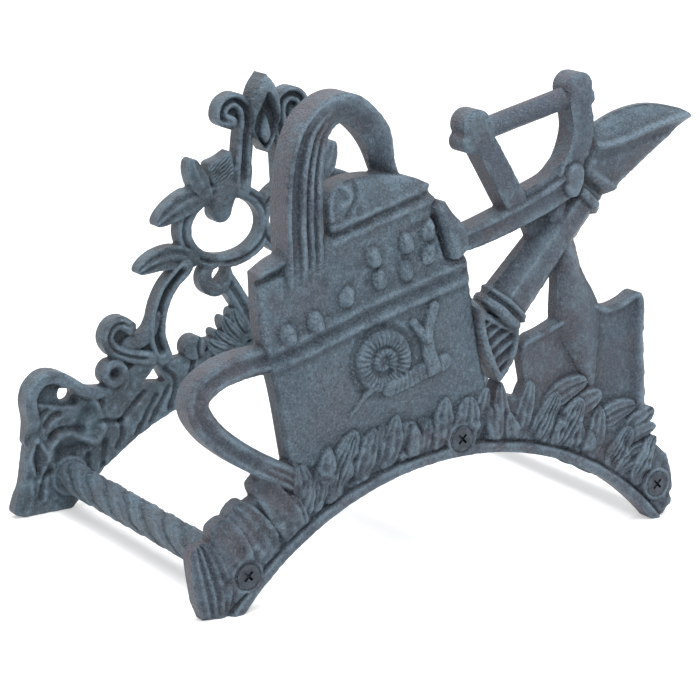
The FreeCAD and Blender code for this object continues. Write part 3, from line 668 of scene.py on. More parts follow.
# brace from the can to the spout: a bar with a crest along one side, its end knob, a web and an ear
def braceOf(relief):
    points = [(-5, 160), (10, 163), (28, 168), (45, 173.5), (60, 180)]

    def crest(t, share):
        return 1.1 * np.exp(-((t - 0.72) / 0.22) ** 2) - 0.5 * np.exp(-(t / 0.4) ** 2)

    # web in the corner between the brace and the spout
    web = cornered(
        [(38.5, 162), (42.5, 154)],
        [(66, 172)],
        [(32, 166)])
    plate(relief, web, frontLook["web"])
    bar(relief, points, (10, 13), frontLook["brace"], 1.8, 2.2, crest)
    bar(relief, [(63, 185.5), (62.4, 180)], (10.6, 11.2), frontLook["brace"] + 2.8, 2.2, 3.0)
    lines(relief, [([(70.5, 191), (69, 184), (66, 176)], 1.4, -2.2)])
    # ear that joins the brace to the can, with a hollow on its inner side
    ring = cornered(
        [(-13, 182), (-7.5, 175), (0, 167), (2, 158)],
        [(-4, 153), (-9, 154)],
        [(-12.5, 166), (-17.5, 179)])
    plate(relief, ring, frontLook["ear"], 2.0, 2.6)
    lines(relief, [([(-16.5, 174), (-12, 164), (-9, 155)], 2.0, -3.2)])


# spade grip: two posts and a strut as bars, and round knobs at the posts' ends
def gripOf(relief):
    top = frontLook["grip"]
    bar(relief, [(8, 212), (18, 195), (29, 176)], (11.5, 12), top, 1.4, 1.8)
    bar(relief, [(66, 222), (68.5, 208), (66, 196), (60, 184)], (12, 12.5), top, 1.4, 1.8)
    bar(relief, [(61, 191), (52, 183), (38, 178)], (7, 6), top - 1.5, 1.8, 2.4)
    for x, z, radius in ((7, 215, 7.2), (4, 207, 5.0), (66.5, 226.5, 7.4), (70.5, 221.5, 4.6)):
        knob(relief, x, z, radius, top, 2.6, radius * 0.6, 0.6)


# round cross bar of the grip: a circle carried from post to post, drawn in to a point inside each
def gripBar():
    start = np.array([8.0, 210.5])
    end = np.array([66.0, 223.0])
    length = np.hypot(*(end - start))
    run = (end - start) / length
    rows, sides = frontLook["barRows"], frontLook["barSides"]
    way = np.concatenate([[0.0], np.linspace(0, length, rows - 2), [length]])
    turn = np.linspace(0, 2 * math.pi, sides, endpoint=False)
    fromSeam = np.minimum(1, np.minimum(turn, 2 * math.pi - turn))
    wobble = 0.12 * waves((rows, sides), 1.0, 5.0, frontLook["barSeed"]) * fromSeam[None, :]
    radius = frontLook["barRadius"] + wobble
    radius[0] = radius[-1] = 0.01
    out = radius * np.cos(turn)[None, :]
    x = start[0] + run[0] * way[:, None] - run[1] * out
    z = start[1] + run[1] * way[:, None] + run[0] * out
    y = plateBack["front"] - frontLook["barMiddle"] - radius * np.sin(turn)[None, :]
    return np.stack([x, y, z - originHeight], -1).reshape(-1, 3), tubeQuads(rows, sides)


# faces of a tube made of rings in a row, outwards where each ring turns left about the way the tube runs
def tubeQuads(rows, around):
    i = np.arange(rows - 1)[:, None] * around
    j = np.arange(around)[None, :]
    k = (j + 1) % around
    return np.stack([i + j, i + around + j, i + around + k, i + k], -1).reshape(-1, 4)


# spade: a dished blade with a rolled right edge and a lip along its top, and a wedge up its middle
def spadeOf(relief):
    ring = cornered(
        [(39, 82), (36, 102), (41, 107.5)],
        [(49, 109.5), (58, 113)],
        [(79, 119)],
        [(88, 115.5), (97, 117), (105, 120.5), (109.5, 117), (110.5, 108)],
        [(113.5, 52)],
        [(44, 56)])
    spot, d = relief.inside(ring)
    x, z = relief.at(spot)
    top = ease(z, 98, 112)
    rolled = 2.2 * np.exp(-((x - 107.5 - 0.03 * (108 - z)) / 2.6) ** 2)
    lip = 1.8 * np.exp(-((d - 2) / 1.8) ** 2) * top
    dish = -1.6 * np.clip(1 - ((x - 78) / 30) ** 2, 0, 1) * (1 - top)
    relief.add(spot, d, rounded(d, frontLook["blade"], 1.5, 2.0) + rolled + lip + dish)
    # socket: a long three-sided wedge that runs up into the shaft
    spot, way, off, length = relief.lengthwise((80, 74), (54, 176), 18)
    share = way / length
    wedge = 0.5 + 13.0 * np.clip(share / 0.36, 0, 1) ** 0.9
    half = np.where(share < 0.36, wedge, 6.8 + 6.7 * (1 - ease(share, 0.36, 0.66)))
    t = np.clip(np.abs(off) / half, 0, 1)
    d = np.minimum(half - np.abs(off), np.minimum(way, length - way))
    height = 6.5 + 4.8 * np.clip(share / 0.3, 0, 1) * (1 - t ** 1.7)
    relief.add(spot, d, height, flank=3.0)


# grass: leaves in three layers, each leaf's width and lift a little uneven by a sine of its number
def grassOf(relief):
    # root, tip, width, bow, ribs; the ones behind come first
    behind = [
        ((52, 72), (75, 79.5), 11, 0.06, 2), ((66, 64), (84.5, 71.5), 11, 0.05, 1),
        ((84, 57), (105.5, 62), 11, 0.06, 2), ((102, 50), (117.5, 57.5), 9.5, 0.05, 1),
        ((101, 45), (118.5, 49), 9, 0.04, 0), ((-30, 62), (-31, 78), 9, 0, 0),
        ((-46, 61), (-46.5, 79), 8.5, 0, 1), ((-55, 57), (-57, 75), 8.5, 0, 0),
        ((-88, 50), (-92, 66.5), 11, 0, 2), ((-64, 56), (-67, 75), 8.5, 0, 0),
        ((9, 64), (15, 86), 8.5, 0.05, 1), ((32.5, 60), (41, 85), 10, -0.05, 1),
        ((-16, 62), (-14.5, 79), 8, 0, 0), ((-36, 62), (-34, 78), 8, 0, 0),
    ]
    ahead = [
        ((-72, 48), (-61.5, 78.5), 13, 0.05, 4), ((-56.5, 54), (-51, 78), 11, 0.04, 1),
        ((-42, 58), (-39.3, 82.5), 11, 0, 1), ((-27, 59), (-29.5, 77.5), 8.5, 0, 0),
        ((-20.5, 60), (-19, 76.5), 9, 0, 1), ((-11.3, 60), (-11.2, 86.5), 13, 0, 1),
        ((2.3, 61), (3.1, 84), 13.5, 0, 2), ((20.5, 60), (15.5, 76.5), 7.5, 0, 0),
        ((23.5, 59.5), (22.2, 88), 9.5, 0, 1), ((30.5, 58), (26, 72.5), 8, 0, 0),
        ((43, 53.5), (56.5, 77), 13, -0.03, 4), ((56.5, 48.5), (70.5, 72), 13, -0.03, 4),
        ((68.5, 45), (70.2, 59.5), 9.5, 0, 1), ((79.5, 41), (83.5, 65), 11, 0, 1),
        ((75.5, 42), (76.5, 54), 7, 0, 0), ((90, 32.5), (102, 51.5), 12.5, -0.03, 4),
        ((96.5, 29.5), (115, 39.5), 10, 0.06, 2), ((107, 23), (118, 44), 10.5, 0.05, 2),
        ((-81.5, 45), (-79.5, 63.5), 9, 0, 2), ((-77.5, 57), (-76.2, 73.5), 8, 0, 0),
        ((-91, 40), (-86.5, 59), 10, 0, 1), ((-90, 35), (-96.5, 53), 10, 0.05, 2),
    ]
    # broad blunt leaves that step down the left foot, the corner one last
    folds = [
        ((-93, 31), (-114, 63), 15, -0.03, 1), ((-107, 20), (-126.5, 52), 19, -0.04, 2),
        ((-122, 10), (-134.5, 46.5), 18, -0.03, 1), ((-136, -2), (-144.5, 37), 18, -0.03, 3),
    ]
    for place, (root, tip, width, bow, ribs) in enumerate(behind):
        uneven = 0.5 + 0.5 * math.sin(2.7 * place)
        leaf(relief, root, tip, (1.02 + 0.14 * uneven) * width, 1.7 + 0.6 * uneven, bow, ribs, 0.9, 0.42)
    for place, (root, tip, width, bow, ribs) in enumerate(ahead):
        uneven = 0.5 + 0.5 * math.sin(2.3 * place + 1.0)
        blunt = 0.46 if ribs > 1 else 0.5 + 0.25 * uneven
        leaf(relief, root, tip, (1.02 + 0.14 * uneven) * width, 2.3 + uneven, bow, ribs, 1.0, blunt)
    for root, tip, width, bow, ribs in folds:
        leaf(relief, root, tip, width, 3.8, bow, ribs, 0.35 * ribs, 0.26, 5.0, 0.5)
    relief.roughen(0.6, 3.6, 5, ease(archDistance(relief, frontLook["arch"]), 30, 20))


# rim along the arch: a rounded band of even width with a groove above it, then the arch and the feet are cut
def rimOf(relief):
    gap = archDistance(relief, frontLook["arch"])
    width = frontLook["rimWidth"]
    bank = relief.edge > 0
    low = relief.gridZ < frontLook["rimHigh"]
    band = np.minimum(gap, width - gap)
    height = rounded(band, frontLook["rimTop"], 1.0, 1.4)
    mix = ease(band, -1.2, 0.0) * (low & (band > -2.0))
    relief.front = relief.front + (height - relief.front) * mix * bank
    groove = np.exp(-((gap - width - 0.6) / 0.8) ** 2) * low * bank
    relief.front = relief.front - 1.1 * groove
    relief.edge = np.minimum(np.minimum(relief.edge, gap), relief.gridZ)


# the front casting: its parts are laid over each other in this order, then skinned
def frontPlate():
    relief = Relief(gridLines(*frontLook["across"]), gridLines(*frontLook["upward"]), frontLook["sand"])
    for part in (bankOf, spadeOf, canOf, snailOf, gripOf, spoutOf, roseOf, braceOf, strapOf, handleOf,
                 grassOf, rimOf):
        part(relief)
    seats(relief, screwSeat["frontFlat"], 2.0, 14, False)
    piece = skinned("front_casting", relief, plateBack["front"], frontLook["faces"], frontLook["seed"],
                    gripBar())
    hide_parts("front_plate")
    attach(piece, "root")
    return piece


# Back casting: the left half is drawn and mirrored
backLook = {
    "panel": 7.5, "scroll": 8.0, "ear": 10.5, "earFloor": 5.0, "eyeFloor": 5.5, "curl": 9.6, "finial": 15.0,
    "arch": (0.0, 52.9, 160.8), "wallHole": (120.0, 61.5, 4.0), "halfWidth": 158.0, "upward": (-4.0, 218.0),
    "sand": 0.65, "seed": 23, "faces": 150000,
    "panelHole": [(-75.5, 60.5), (-62.5, 59), (-67.5, 69)],
    "ringEye": [(-32.5, 111.5), (-28.5, 116.5), (-24.6, 113), (-29.8, 107.5)],
}


# carving for a bar: a flat-bottomed channel along it that stops short of both ends
def channelled(depth, width=0.42):
    def carve(t, share):
        ends = ease(share, 0.0, 0.1) * (1 - ease(share, 0.92, 1.0))
        return -depth * np.exp(-(t / width) ** 4) * ends
    return carve


# panel over the arch with its ear and foot: a plate inside the drawn edge
def panelOf(relief):
    ring = cornered(
        [(-146, 0)],
        [(-151.5, 3), (-149.5, 11), (-146.5, 18), (-143, 37), (-139, 48)],
        [(-142.5, 58), (-142.5, 67), (-136, 74), (-128, 75.5), (-118, 71.5), (-106, 63), (-96, 62)],
        [(-84, 68), (-72, 75), (-58, 70.5), (-30, 72), (8, 72)],
        [(8, 0)],
        [(-112, 0)])
    plate(relief, ring, backLook["panel"])


# carving on the panel: a wavy ridge under the ear, hollows beside it, and grooves that fan out to the arch
def panelCarving(relief):
    waveRidge = [(-105.7, 56), (-100.8, 50), (-98.8, 44), (-100.6, 37.5), (-104.5, 33.6), (-113, 37),
                 (-119, 40.5), (-125.5, 39), (-130, 34), (-130.3, 27.5), (-128, 23)]
    grooves = [
        [(-67.8, 52), (-74, 42.5), (-80, 33.5)], [(-75, 55), (-83, 48), (-88.5, 42)],
        [(-88.5, 41), (-88.4, 34), (-91.5, 28.5)], [(-98.5, 33), (-100.5, 20)],
        [(-100, 44), (-94.5, 42.5), (-88.5, 42.2)], [(-108.4, 27), (-109.5, 18)],
        [(-100.5, 56.6), (-99.7, 49.6), (-98, 44.5)], [(-132.3, 47), (-128, 51), (-124.5, 52)],
        [(-136, 51.5), (-131, 55)], [(-130, 40), (-125.3, 43.2), (-118.7, 43), (-111, 41)],
        [(-137, 37), (-138, 20)], [(-136.5, 9), (-135, 19.5), (-130.5, 22.5)],
        [(-60, 56), (-66, 46), (-71.5, 38.5)], [(-62, 66), (-56, 58), (-60, 44)],
    ]
    lines(relief, [
        (waveRidge, 2.0, 2.2),
        ([(-123, 31), (-112, 32.5)], 3.6, -2.6),
        ([(-112, 44.5), (-108.5, 50.5)], 3.6, -2.2)])
    lines(relief, [(groove, 1.6, -1.9) for groove in grooves])
    lines(relief, [
        # almond leaf on the foot, in outline
        ([(-137.5, 40), (-132.4, 30.7), (-136, 18.5)], 1.2, 1.5),
        ([(-138.5, 39), (-141.5, 29.6), (-137, 17.5)], 1.2, 1.5),
        ([(-145, 2), (-141.5, 9), (-142, 18)], 1.6, 1.2)])
    # towards the middle the fan of grooves goes on, nearer upright
    fan = [-48 + 12.5 * place for place in range(4)]
    lines(relief, [([(x + 3, 69), (x + 1, 61), (x - 3, 51)], 1.3, -2.0) for x in fan])
    relief.roughen(0.22, 3.0, 8, relief.gridZ < 70)


# ear: a pocket sunk round the wall hole and a bar that goes round it
def earOf(relief):
    pocket = [(-137, 63), (-133.2, 68.4), (-127, 68.2), (-120.5, 64.5), (-114.5, 57), (-121, 56.5),
              (-133.5, 59.5)]
    spot, d = relief.inside(smoothPath(pocket, closed=True))
    relief.level(spot, d, backLook["earFloor"], 2.0)
    rim = [(-140.5, 40), (-139.5, 50), (-140.5, 62), (-136, 69.8), (-129.5, 72.2), (-122.5, 70.4),
           (-115.5, 65), (-107, 60.2), (-96, 58.6)]
    bar(relief, rim, (7, 6), backLook["ear"], 1.6, 2.4, None, (4.0, 2.4))


# scrollwork: channelled bars along the stems and volutes, thin webs in the eyes and lumps on the ends
def scrollsOf(relief):
    stem = [(-48, 119), (-58, 109.5), (-63, 101), (-65.5, 92), (-66, 83), (-63, 73)]
    curl = [(-66, 94), (-69.5, 87), (-75, 83), (-82, 82.5)]
    volute = [(-70, 72.5), (-84, 76.5), (-92, 81), (-94.8, 87), (-92, 92.8), (-86.5, 94.2), (-82, 91)]
    topStem = [(-13, 156), (-12, 170), (-11, 182), (-9.8, 192), (-11.5, 199.5), (-17, 203), (-23, 200.5),
               (-24.5, 194.5), (-19.5, 191.5)]
    crossBar = [(-25, 110), (-19, 101), (-12, 89), (-4, 72)]
    top = backLook["scroll"]
    # webs that close the eyes of the volutes and the crook of the stem
    for x, z, radius in ((-17.5, 196.5, 6.2), (-89.5, 86.5, 4.8), (-72, 79.5, 5.0), (-84.5, 73, 3.2)):
        knob(relief, x, z, radius, backLook["eyeFloor"], 0.5, 1.0)
    bar(relief, curl, (7, 8.5), top, 2.0, 3.0)
    bar(relief, stem, (8.5, 9.5), top + 0.8, 1.6, 2.0, channelled(4.2))
    bar(relief, volute, (8, 7), top + 1.0, 2.6, 3.4, channelled(1.2, 0.25))
    bump(relief, -83, 90.5, 5.0, 5.0, 0.0, 1.6)
    bar(relief, crossBar, (9.5, 9.5), top, 1.8, 2.4, channelled(1.4, 0.35))
    bar(relief, topStem, (10.5, 7), top + 1.0, 2.2, 2.8, channelled(3.0, 0.36))
    bump(relief, -19.5, 192.5, 4.4, 4.4, 0.0, 2.2)


# ring: a rounded band between two ovals with a groove round it, a knuckle on top and an eyed disc under it
def ringOf(relief):
    spot, dx, dz = relief.around(-23.5, 137, 36)
    turn = np.arctan2(dz / 22.5, dx / 29.0)
    outer = np.hypot(29.0 * np.cos(turn), 22.5 * np.sin(turn))
    inner = np.hypot(20.5 * np.cos(turn), 15.0 * np.sin(turn))
    half = 0.5 * (outer - inner)
    off = np.hypot(dx, dz) - 0.5 * (outer + inner)
    d = half - np.abs(off)
    groove = 1.6 * np.exp(-((off / half - 0.15) / 0.3) ** 2)
    relief.add(spot, d, rounded(d, backLook["scroll"] + 0.5, 2.2, 3.0) - groove)
    bar(relief, [(-23, 157), (-25, 150), (-26, 145.5)], (15, 12.5), backLook["scroll"] + 1.2, 3.0, 5.0)
    # small eye under the ring
    spot, dx, dz = relief.around(-30, 110, 18)
    x, z = relief.at(spot)
    eye = np.hypot((x + 28.5) / 0.9, z - 111.5) - 4.4
    d = np.minimum(10.0 - np.hypot(dx, dz), eye)
    relief.add(spot, d, rounded(d, backLook["scroll"], 2.0, 2.6))


# foliage: leaves beside the ring, a pleated fan over it and four small leaves at the cross bar's foot
def foliageOf(relief):
    leaf(relief, (-44, 122), (-76, 119), 13, 2.2, -0.12, 1, 1.3, 0.5, 6.6)
    leaf(relief, (-36, 155), (-64.5, 142.5), 13.5, 2.2, -0.06, 1, 0.9, 0.5, 6.6)
    leaf(relief, (-35, 156), (-43, 175), 11, 2.6, 0.05, 0, 0.8, 0.45, 6.8)
    fan = cornered(
        [(-33, 171.5), (-27, 173.5), (-20, 177)],
        [(-17.5, 167), (-18, 156)],
        [(-28, 154)],
        [(-33.5, 167.5)])

    def pleats(x, z, d):
        return 0.4 * np.cos((z + 0.25 * x + 0.02 * x * x) * 3.0 + np.sin(x)) * ease(d, 0.3, 2.0)

    plate(relief, fan, backLook["scroll"] + 0.5, 2.0, 2.6, pleats)
    for root, tip in (((-12, 76), (-20.5, 92)), ((-15, 74), (-26.5, 88.5)), ((-19, 71), (-32.5, 82)),
                      ((-24, 70), (-36.5, 77))):
        leaf(relief, root, tip, 8, 2.4, 0.1, 2, 1.0, 0.4, 6.6)


# two round curls on the panel's upper edge, one with a sunk eye, and a line beside each
def curlsOf(relief):
    for x, z, radius, eye in ((-92, 68, 7.6, 4.5), (-44.5, 74.5, 6.6, 0.0)):
        spot, dx, dz = relief.around(x, z, 16)
        r = np.hypot(dx, dz)
        height = rounded(radius - r, backLook["curl"], 2.4, 3.6) - eye * np.exp(-(r / 2.8) ** 2)
        relief.add(spot, radius - r, height)
    lines(relief, [
        ([(-41, 80), (-43, 74), (-41.5, 69)], 1.0, -1.8),
        ([(-86, 70), (-85, 64), (-88, 58)], 1.6, 1.5)])


# finial: a plump bud with a hollow in it and a drop in the hollow
def finialOf(relief):
    top = backLook["finial"]
    plate(relief, mirrored([(0, 174), (-6.5, 184), (-8.6, 197), (-6, 208), (0, 216)]), top, 5.0, 4.5)
    spot, d = relief.inside(mirrored([(0, 177), (-4.9, 184), (-5.6, 193), (0, 205)]))
    relief.level(spot, d, top - 7.0, 1.8)
    plate(relief, mirrored([(0, 178.5), (-2.8, 184), (0, 196)]), top - 3.0, 2.5, 2.4)


# the back casting: left half with its openings, its mirror image, then the finial and what is cut away
def backPlate():
    half = int(backLook["halfWidth"] / gridStep) + 1
    columns = (np.arange(2 * half + 1) - half) * gridStep
    relief = Relief(columns, gridLines(*backLook["upward"]), backLook["sand"])
    for part in (panelOf, panelCarving, earOf, ringOf, foliageOf, scrollsOf, curlsOf):
        part(relief)
    for hole in (np.array(backLook["panelHole"]), smoothPath(backLook["ringEye"], closed=True)):
        spot, d = relief.inside(hole)
        relief.edge[spot] = np.minimum(relief.edge[spot], -d)
    onRight = relief.gridX > 0
    relief.front = np.where(onRight, relief.front[::-1], relief.front)
    relief.edge = np.where(onRight, relief.edge[::-1], relief.edge)
    finialOf(relief)
    gap = archDistance(relief, backLook["arch"])
    relief.edge = np.minimum(np.minimum(relief.edge, gap), relief.gridZ)
    out, high, radius = backLook["wallHole"]
    for x in (-out, out):
        r = np.hypot(relief.gridX - x, relief.gridZ - high)
        relief.edge = np.minimum(relief.edge, r - radius)
    seats(relief, screwSeat["backFlat"], 1.6, 16, True)
    piece = skinned("back_casting", relief, plateBack["back"], backLook["faces"], backLook["seed"])
    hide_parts("back_plate")
    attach(piece, "root")
    return piece


# Bars: a turned profile with shallow ridges that wind round it
barLook = {"length": 172.0, "radius": 8.45, "start": -9.0, "tap": 3.1, "tapDepth": 20.0, "ridge": 0.9,
           "starts": 4, "lead": 80.0, "sand": 0.7, "seed": 40, "around": 144, "along": 260}


# radius = full radius less grooves at the zeros of a winding sine, with finer streaks that run the same way
def twistedBar(name, node, place, seed):
    along, around, length = barLook["along"], barLook["around"], barLook["length"]
    turn = np.linspace(0, 2 * math.pi, around, endpoint=False)
    way = np.linspace(0, 1, along) * length
    fade = ease(np.minimum(way, length - way), 0.0, 4.0)[:, None]
    rough = waves((along, around), 1.0, 5.0, seed)
    rough = rough * np.minimum(1, np.minimum(turn, 2 * math.pi - turn) / 0.4)[None, :]
    twist = turn[None, :] - 2 * math.pi * way[:, None] / barLook["lead"]
    wind = 0.5 * barLook["starts"] * twist + 0.3 * rough
    groove = (1 - np.abs(np.sin(wind)) ** 0.5) * fade
    streak = np.sin(5 * barLook["starts"] * twist / 2 + 1.2 * rough) * fade
    radius = barLook["radius"] - 0.3 - barLook["ridge"] * groove + (0.2 * streak + 0.2 * rough * fade)
    radius = np.minimum(radius, barLook["radius"])
    # inner wall of each tapped end first and last
    depth = barLook["tapDepth"]
    tap = np.full((1, around), barLook["tap"])
    tiny = np.full((1, around), 0.01)
    radius = np.vstack([tiny, tap, tap, radius, tap, tap, tiny])
    way = np.concatenate([[depth, depth, 0.0], way, [length, length - depth, length - depth]])
    x = place[0] + radius * np.cos(turn)[None, :]
    z = place[1] - originHeight + radius * np.sin(turn)[None, :]
    y = np.repeat(barLook["start"] - way[:, None], around, axis=1)
    verts = np.stack([x, y, z], -1).reshape(-1, 3)
    piece = meshPiece(name, verts * unit, tubeQuads(len(way), around))
    piece.data.shade_smooth()
    piece.data.set_sharp_from_angle(angle=sharpAngle)
    # marks for the material: painted shade in the spiral grooves, painted highlight with rub on the ridges
    # and streaks
    ends = np.zeros((3, around))
    proud = np.clip(0.55 + 0.45 * streak, 0, 1) * (1 - groove)
    proud = np.vstack([ends, proud, ends]).ravel()
    hollow = np.vstack([ends, 0.9 * groove, ends]).ravel()
    addMarks(piece.data, hollow, proud, np.full(len(verts), barLook["sand"]))
    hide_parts(node)
    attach(piece, "root")
    return piece


frontPiece = frontPlate()
print("front casting", len(frontPiece.data.polygons))
backPiece = backPlate()
print("back casting", len(backPiece.data.polygons))
barPieces = [twistedBar(name + "_bar", name + "_spacer", place, barLook["seed"] + step)
             for step, (name, place) in enumerate(zip(("left", "centre", "right"), screwSpots))]
print("bars")


# Short calls for the shader nodes used here. A value is a number, a colour or another node's socket.
class Wiring:
    def __init__(self, tree):
        self.nodes, self.links = tree.nodes, tree.links

    def new(self, kind):
        return self.nodes.new("ShaderNode" + kind)

    def put(self, socket, value):
        if isinstance(value, bpy.types.NodeSocket):
            self.links.new(value, socket)
        else:
            socket.default_value = value

    # first where the factor is 0, second where it is 1
    def mix(self, factor, first, second):
        node = self.new("Mix")
        node.data_type = "RGBA"
        node.clamp_factor = True
        for socket, value in ((0, factor), (6, first), (7, second)):
            self.put(node.inputs[socket], value)
        return node.outputs[2]

    def maths(self, kind, first, second=0.0):
        node = self.new("Math")
        node.operation = kind
        self.put(node.inputs[0], first)
        self.put(node.inputs[1], second)
        return node.outputs[0]

    def times(self, first, second):
        return self.maths("MULTIPLY", first, second)

    def plus(self, first, second):
        return self.maths("ADD", first, second)

    def larger(self, first, second):
        return self.maths("MAXIMUM", first, second)

    def noise(self, place, scale, detail, rough=0.6):
        node = self.new("TexNoise")
        for label, value in (("Scale", scale), ("Detail", detail), ("Roughness", rough), ("Vector", place)):
            self.put(node.inputs[label], value)
        return node.outputs[0]

    # 0 at low, 1 at high and a smooth S between them
    def spread(self, value, low, high):
        node = self.new("MapRange")
        node.interpolation_type = "SMOOTHSTEP"
        for label, number in (("From Min", low), ("From Max", high), ("Value", value)):
            self.put(node.inputs[label], number)
        return node.outputs[0]

    # 1 where the camera looks, straight, by reflection or through glass, and 0 for light on other things
    def shown(self):
        path = self.new("LightPath")
        seen = self.larger(path.outputs["Is Camera Ray"], path.outputs["Is Glossy Ray"])
        return self.larger(seen, path.outputs["Is Transmission Ray"])


# scales of the noises, how strong each colour and each painted highlight and shade is, and the roughness
# with what the specks add to it
patinaAndPaintedLightLook = {
    "broad": 30.0, "patch": 85.0, "speck": 900.0, "pits": 760.0, "broadMauve": 0.85, "sandRub": 0.42,
    "paintedCrestHighlight": 0.4, "paintedHollowShade": 0.85, "pitDark": 0.42, "speckPale": 0.34, "smooth": 0.32,
    "rougher": 0.26,
}


# Patina and painted light: slate paint with a mauve cast on the flanks, a green-blue rub on patches and
# crests, on crests partly wear and partly painted highlight, a pale painted highlight on crests, painted
# shade in hollows, dark pits, and pale specks. Each is mixed over the ones before it by its mask.
def patinaAndPaintedLightGroup():
    group = bpy.data.node_groups.new("patinaAndPaintedLight", "ShaderNodeTree")
    face = group.interface
    for label in ("Slate", "Rub", "Mauve", "Dark", "Pale"):
        face.new_socket(label, in_out="INPUT", socket_type="NodeSocketColor")
    for label in ("Rub Amount", "Wall Marks", "Hollow", "Proud", "Sand"):
        face.new_socket(label, in_out="INPUT", socket_type="NodeSocketFloat")
    face.new_socket("Colour", in_out="OUTPUT", socket_type="NodeSocketColor")
    face.new_socket("Roughness", in_out="OUTPUT", socket_type="NodeSocketFloat")
    wire = Wiring(group)
    given = wire.nodes.new("NodeGroupInput").outputs
    leave = wire.nodes.new("NodeGroupOutput")
    where = wire.new("TexCoord")
    place = where.outputs["Object"]
    look = patinaAndPaintedLightLook
    broad = wire.noise(place, look["broad"], 4.0)
    patch = wire.noise(place, look["patch"], 4.0)
    speck = wire.noise(place, look["speck"], 2.0, 0.7)
    pits = wire.noise(place, look["pits"], 2.0, 0.7)
    facing = wire.new("SeparateXYZ")
    wire.put(facing.inputs[0], where.outputs["Normal"])
    level = wire.maths("ABSOLUTE", facing.outputs[1])
    # walls carry no marks, unless the material asks for them
    marked = wire.larger(wire.spread(level, 0.1, 0.45), given["Wall Marks"])
    flank = wire.spread(wire.maths("SUBTRACT", 1.0, level), 0.35, 0.85)
    cast = wire.plus(flank, wire.times(wire.spread(broad, 0.45, 0.62), look["broadMauve"]))
    colour = wire.mix(cast, given["Slate"], given["Mauve"])
    rubbed = wire.times(wire.spread(patch, 0.44, 0.66), given["Rub Amount"])
    rubbed = wire.plus(rubbed, wire.times(wire.maths("POWER", given["Sand"], 5.0), look["sandRub"]))
    # painted highlight: crests and edges take the green-blue rub, partly real wear and partly painted
    # highlight, then Pale as a painted highlight where light catches them
    crest = wire.times(wire.times(given["Proud"], wire.spread(patch, 0.3, 0.6)), marked)
    colour = wire.mix(wire.plus(rubbed, crest), colour, given["Rub"])
    colour = wire.mix(wire.times(crest, look["paintedCrestHighlight"]), colour, given["Pale"])
    # painted shade: Dark mixed into the hollows that lie under their surroundings, where shade falls
    depth = wire.times(wire.times(given["Hollow"], look["paintedHollowShade"]), marked)
    colour = wire.mix(depth, colour, given["Dark"])
    pit = wire.times(wire.spread(pits, 0.52, 0.38), wire.times(given["Sand"], look["pitDark"]))
    colour = wire.mix(pit, colour, given["Dark"])
    grains = wire.times(wire.spread(speck, 0.50, 0.66), wire.times(given["Sand"], look["speckPale"]))
    colour = wire.mix(grains, colour, given["Pale"])
    wire.put(leave.inputs["Colour"], colour)
    wire.put(leave.inputs["Roughness"], wire.plus(look["smooth"], wire.times(speck, look["rougher"])))
    return group


grainLook = {"fine": 1100.0, "skin": 420.0, "skinShare": 0.7, "depth": 0.0018}


# Sand grain: fine pits and a coarser skin, added up as a height and given as a normal
def grainGroup():
    group = bpy.data.node_groups.new("sand grain", "ShaderNodeTree")
    group.interface.new_socket("Strength", in_out="INPUT", socket_type="NodeSocketFloat")
    group.interface.new_socket("Normal", in_out="OUTPUT", socket_type="NodeSocketVector")
    wire = Wiring(group)
    given = wire.nodes.new("NodeGroupInput").outputs
    leave = wire.nodes.new("NodeGroupOutput")
    place = wire.new("TexCoord").outputs["Object"]
    fine = wire.noise(place, grainLook["fine"], 2.0, 0.65)
    skin = wire.noise(place, grainLook["skin"], 3.0)
    relief = wire.new("Bump")
    wire.put(relief.inputs["Distance"], grainLook["depth"])
    wire.put(relief.inputs["Strength"], given["Strength"])
    wire.put(relief.inputs["Height"], wire.plus(fine, wire.times(skin, grainLook["skinShare"])))
    wire.put(leave.inputs["Normal"], relief.outputs["Normal"])
    return group


patinaAndPaintedLight = patinaAndPaintedLightGroup()
grain = grainGroup()
ironGloss = {"metallic": 0.15, "specular": 0.42}


# a material with its own node tree, and its shader
def blankMaterial(name):
    material = bpy.data.materials.new(name)
    material.use_nodes = True
    return material, Wiring(material.node_tree), material.node_tree.nodes["Principled BSDF"].inputs


# painted iron: colour and roughness from the patina group, which adds a painted highlight on crests and
# painted shade in hollows, the sand grain as normal, on a slightly metallic shader
def castIron(name, colours, rub, bumpStrength, wallMarks=0.0):
    material, wire, shader = blankMaterial(name)
    colouring = wire.new("Group")
    colouring.node_tree = patinaAndPaintedLight
    for label, value in colours.items():
        colouring.inputs[label].default_value = value + (1.0,)
    colouring.inputs["Rub Amount"].default_value = rub
    colouring.inputs["Wall Marks"].default_value = wallMarks
    for label in ("hollow", "proud", "sand"):
        mark = wire.new("Attribute")
        mark.attribute_name = label
        wire.put(colouring.inputs[label.capitalize()], mark.outputs["Fac"])
    sand = wire.new("Group")
    sand.node_tree = grain
    sand.inputs["Strength"].default_value = bumpStrength
    wire.put(shader["Base Color"], colouring.outputs["Colour"])
    wire.put(shader["Roughness"], colouring.outputs["Roughness"])
    wire.put(shader["Normal"], sand.outputs["Normal"])
    shader["Metallic"].default_value = ironGloss["metallic"]
    shader["Specular IOR Level"].default_value = ironGloss["specular"]
    return material


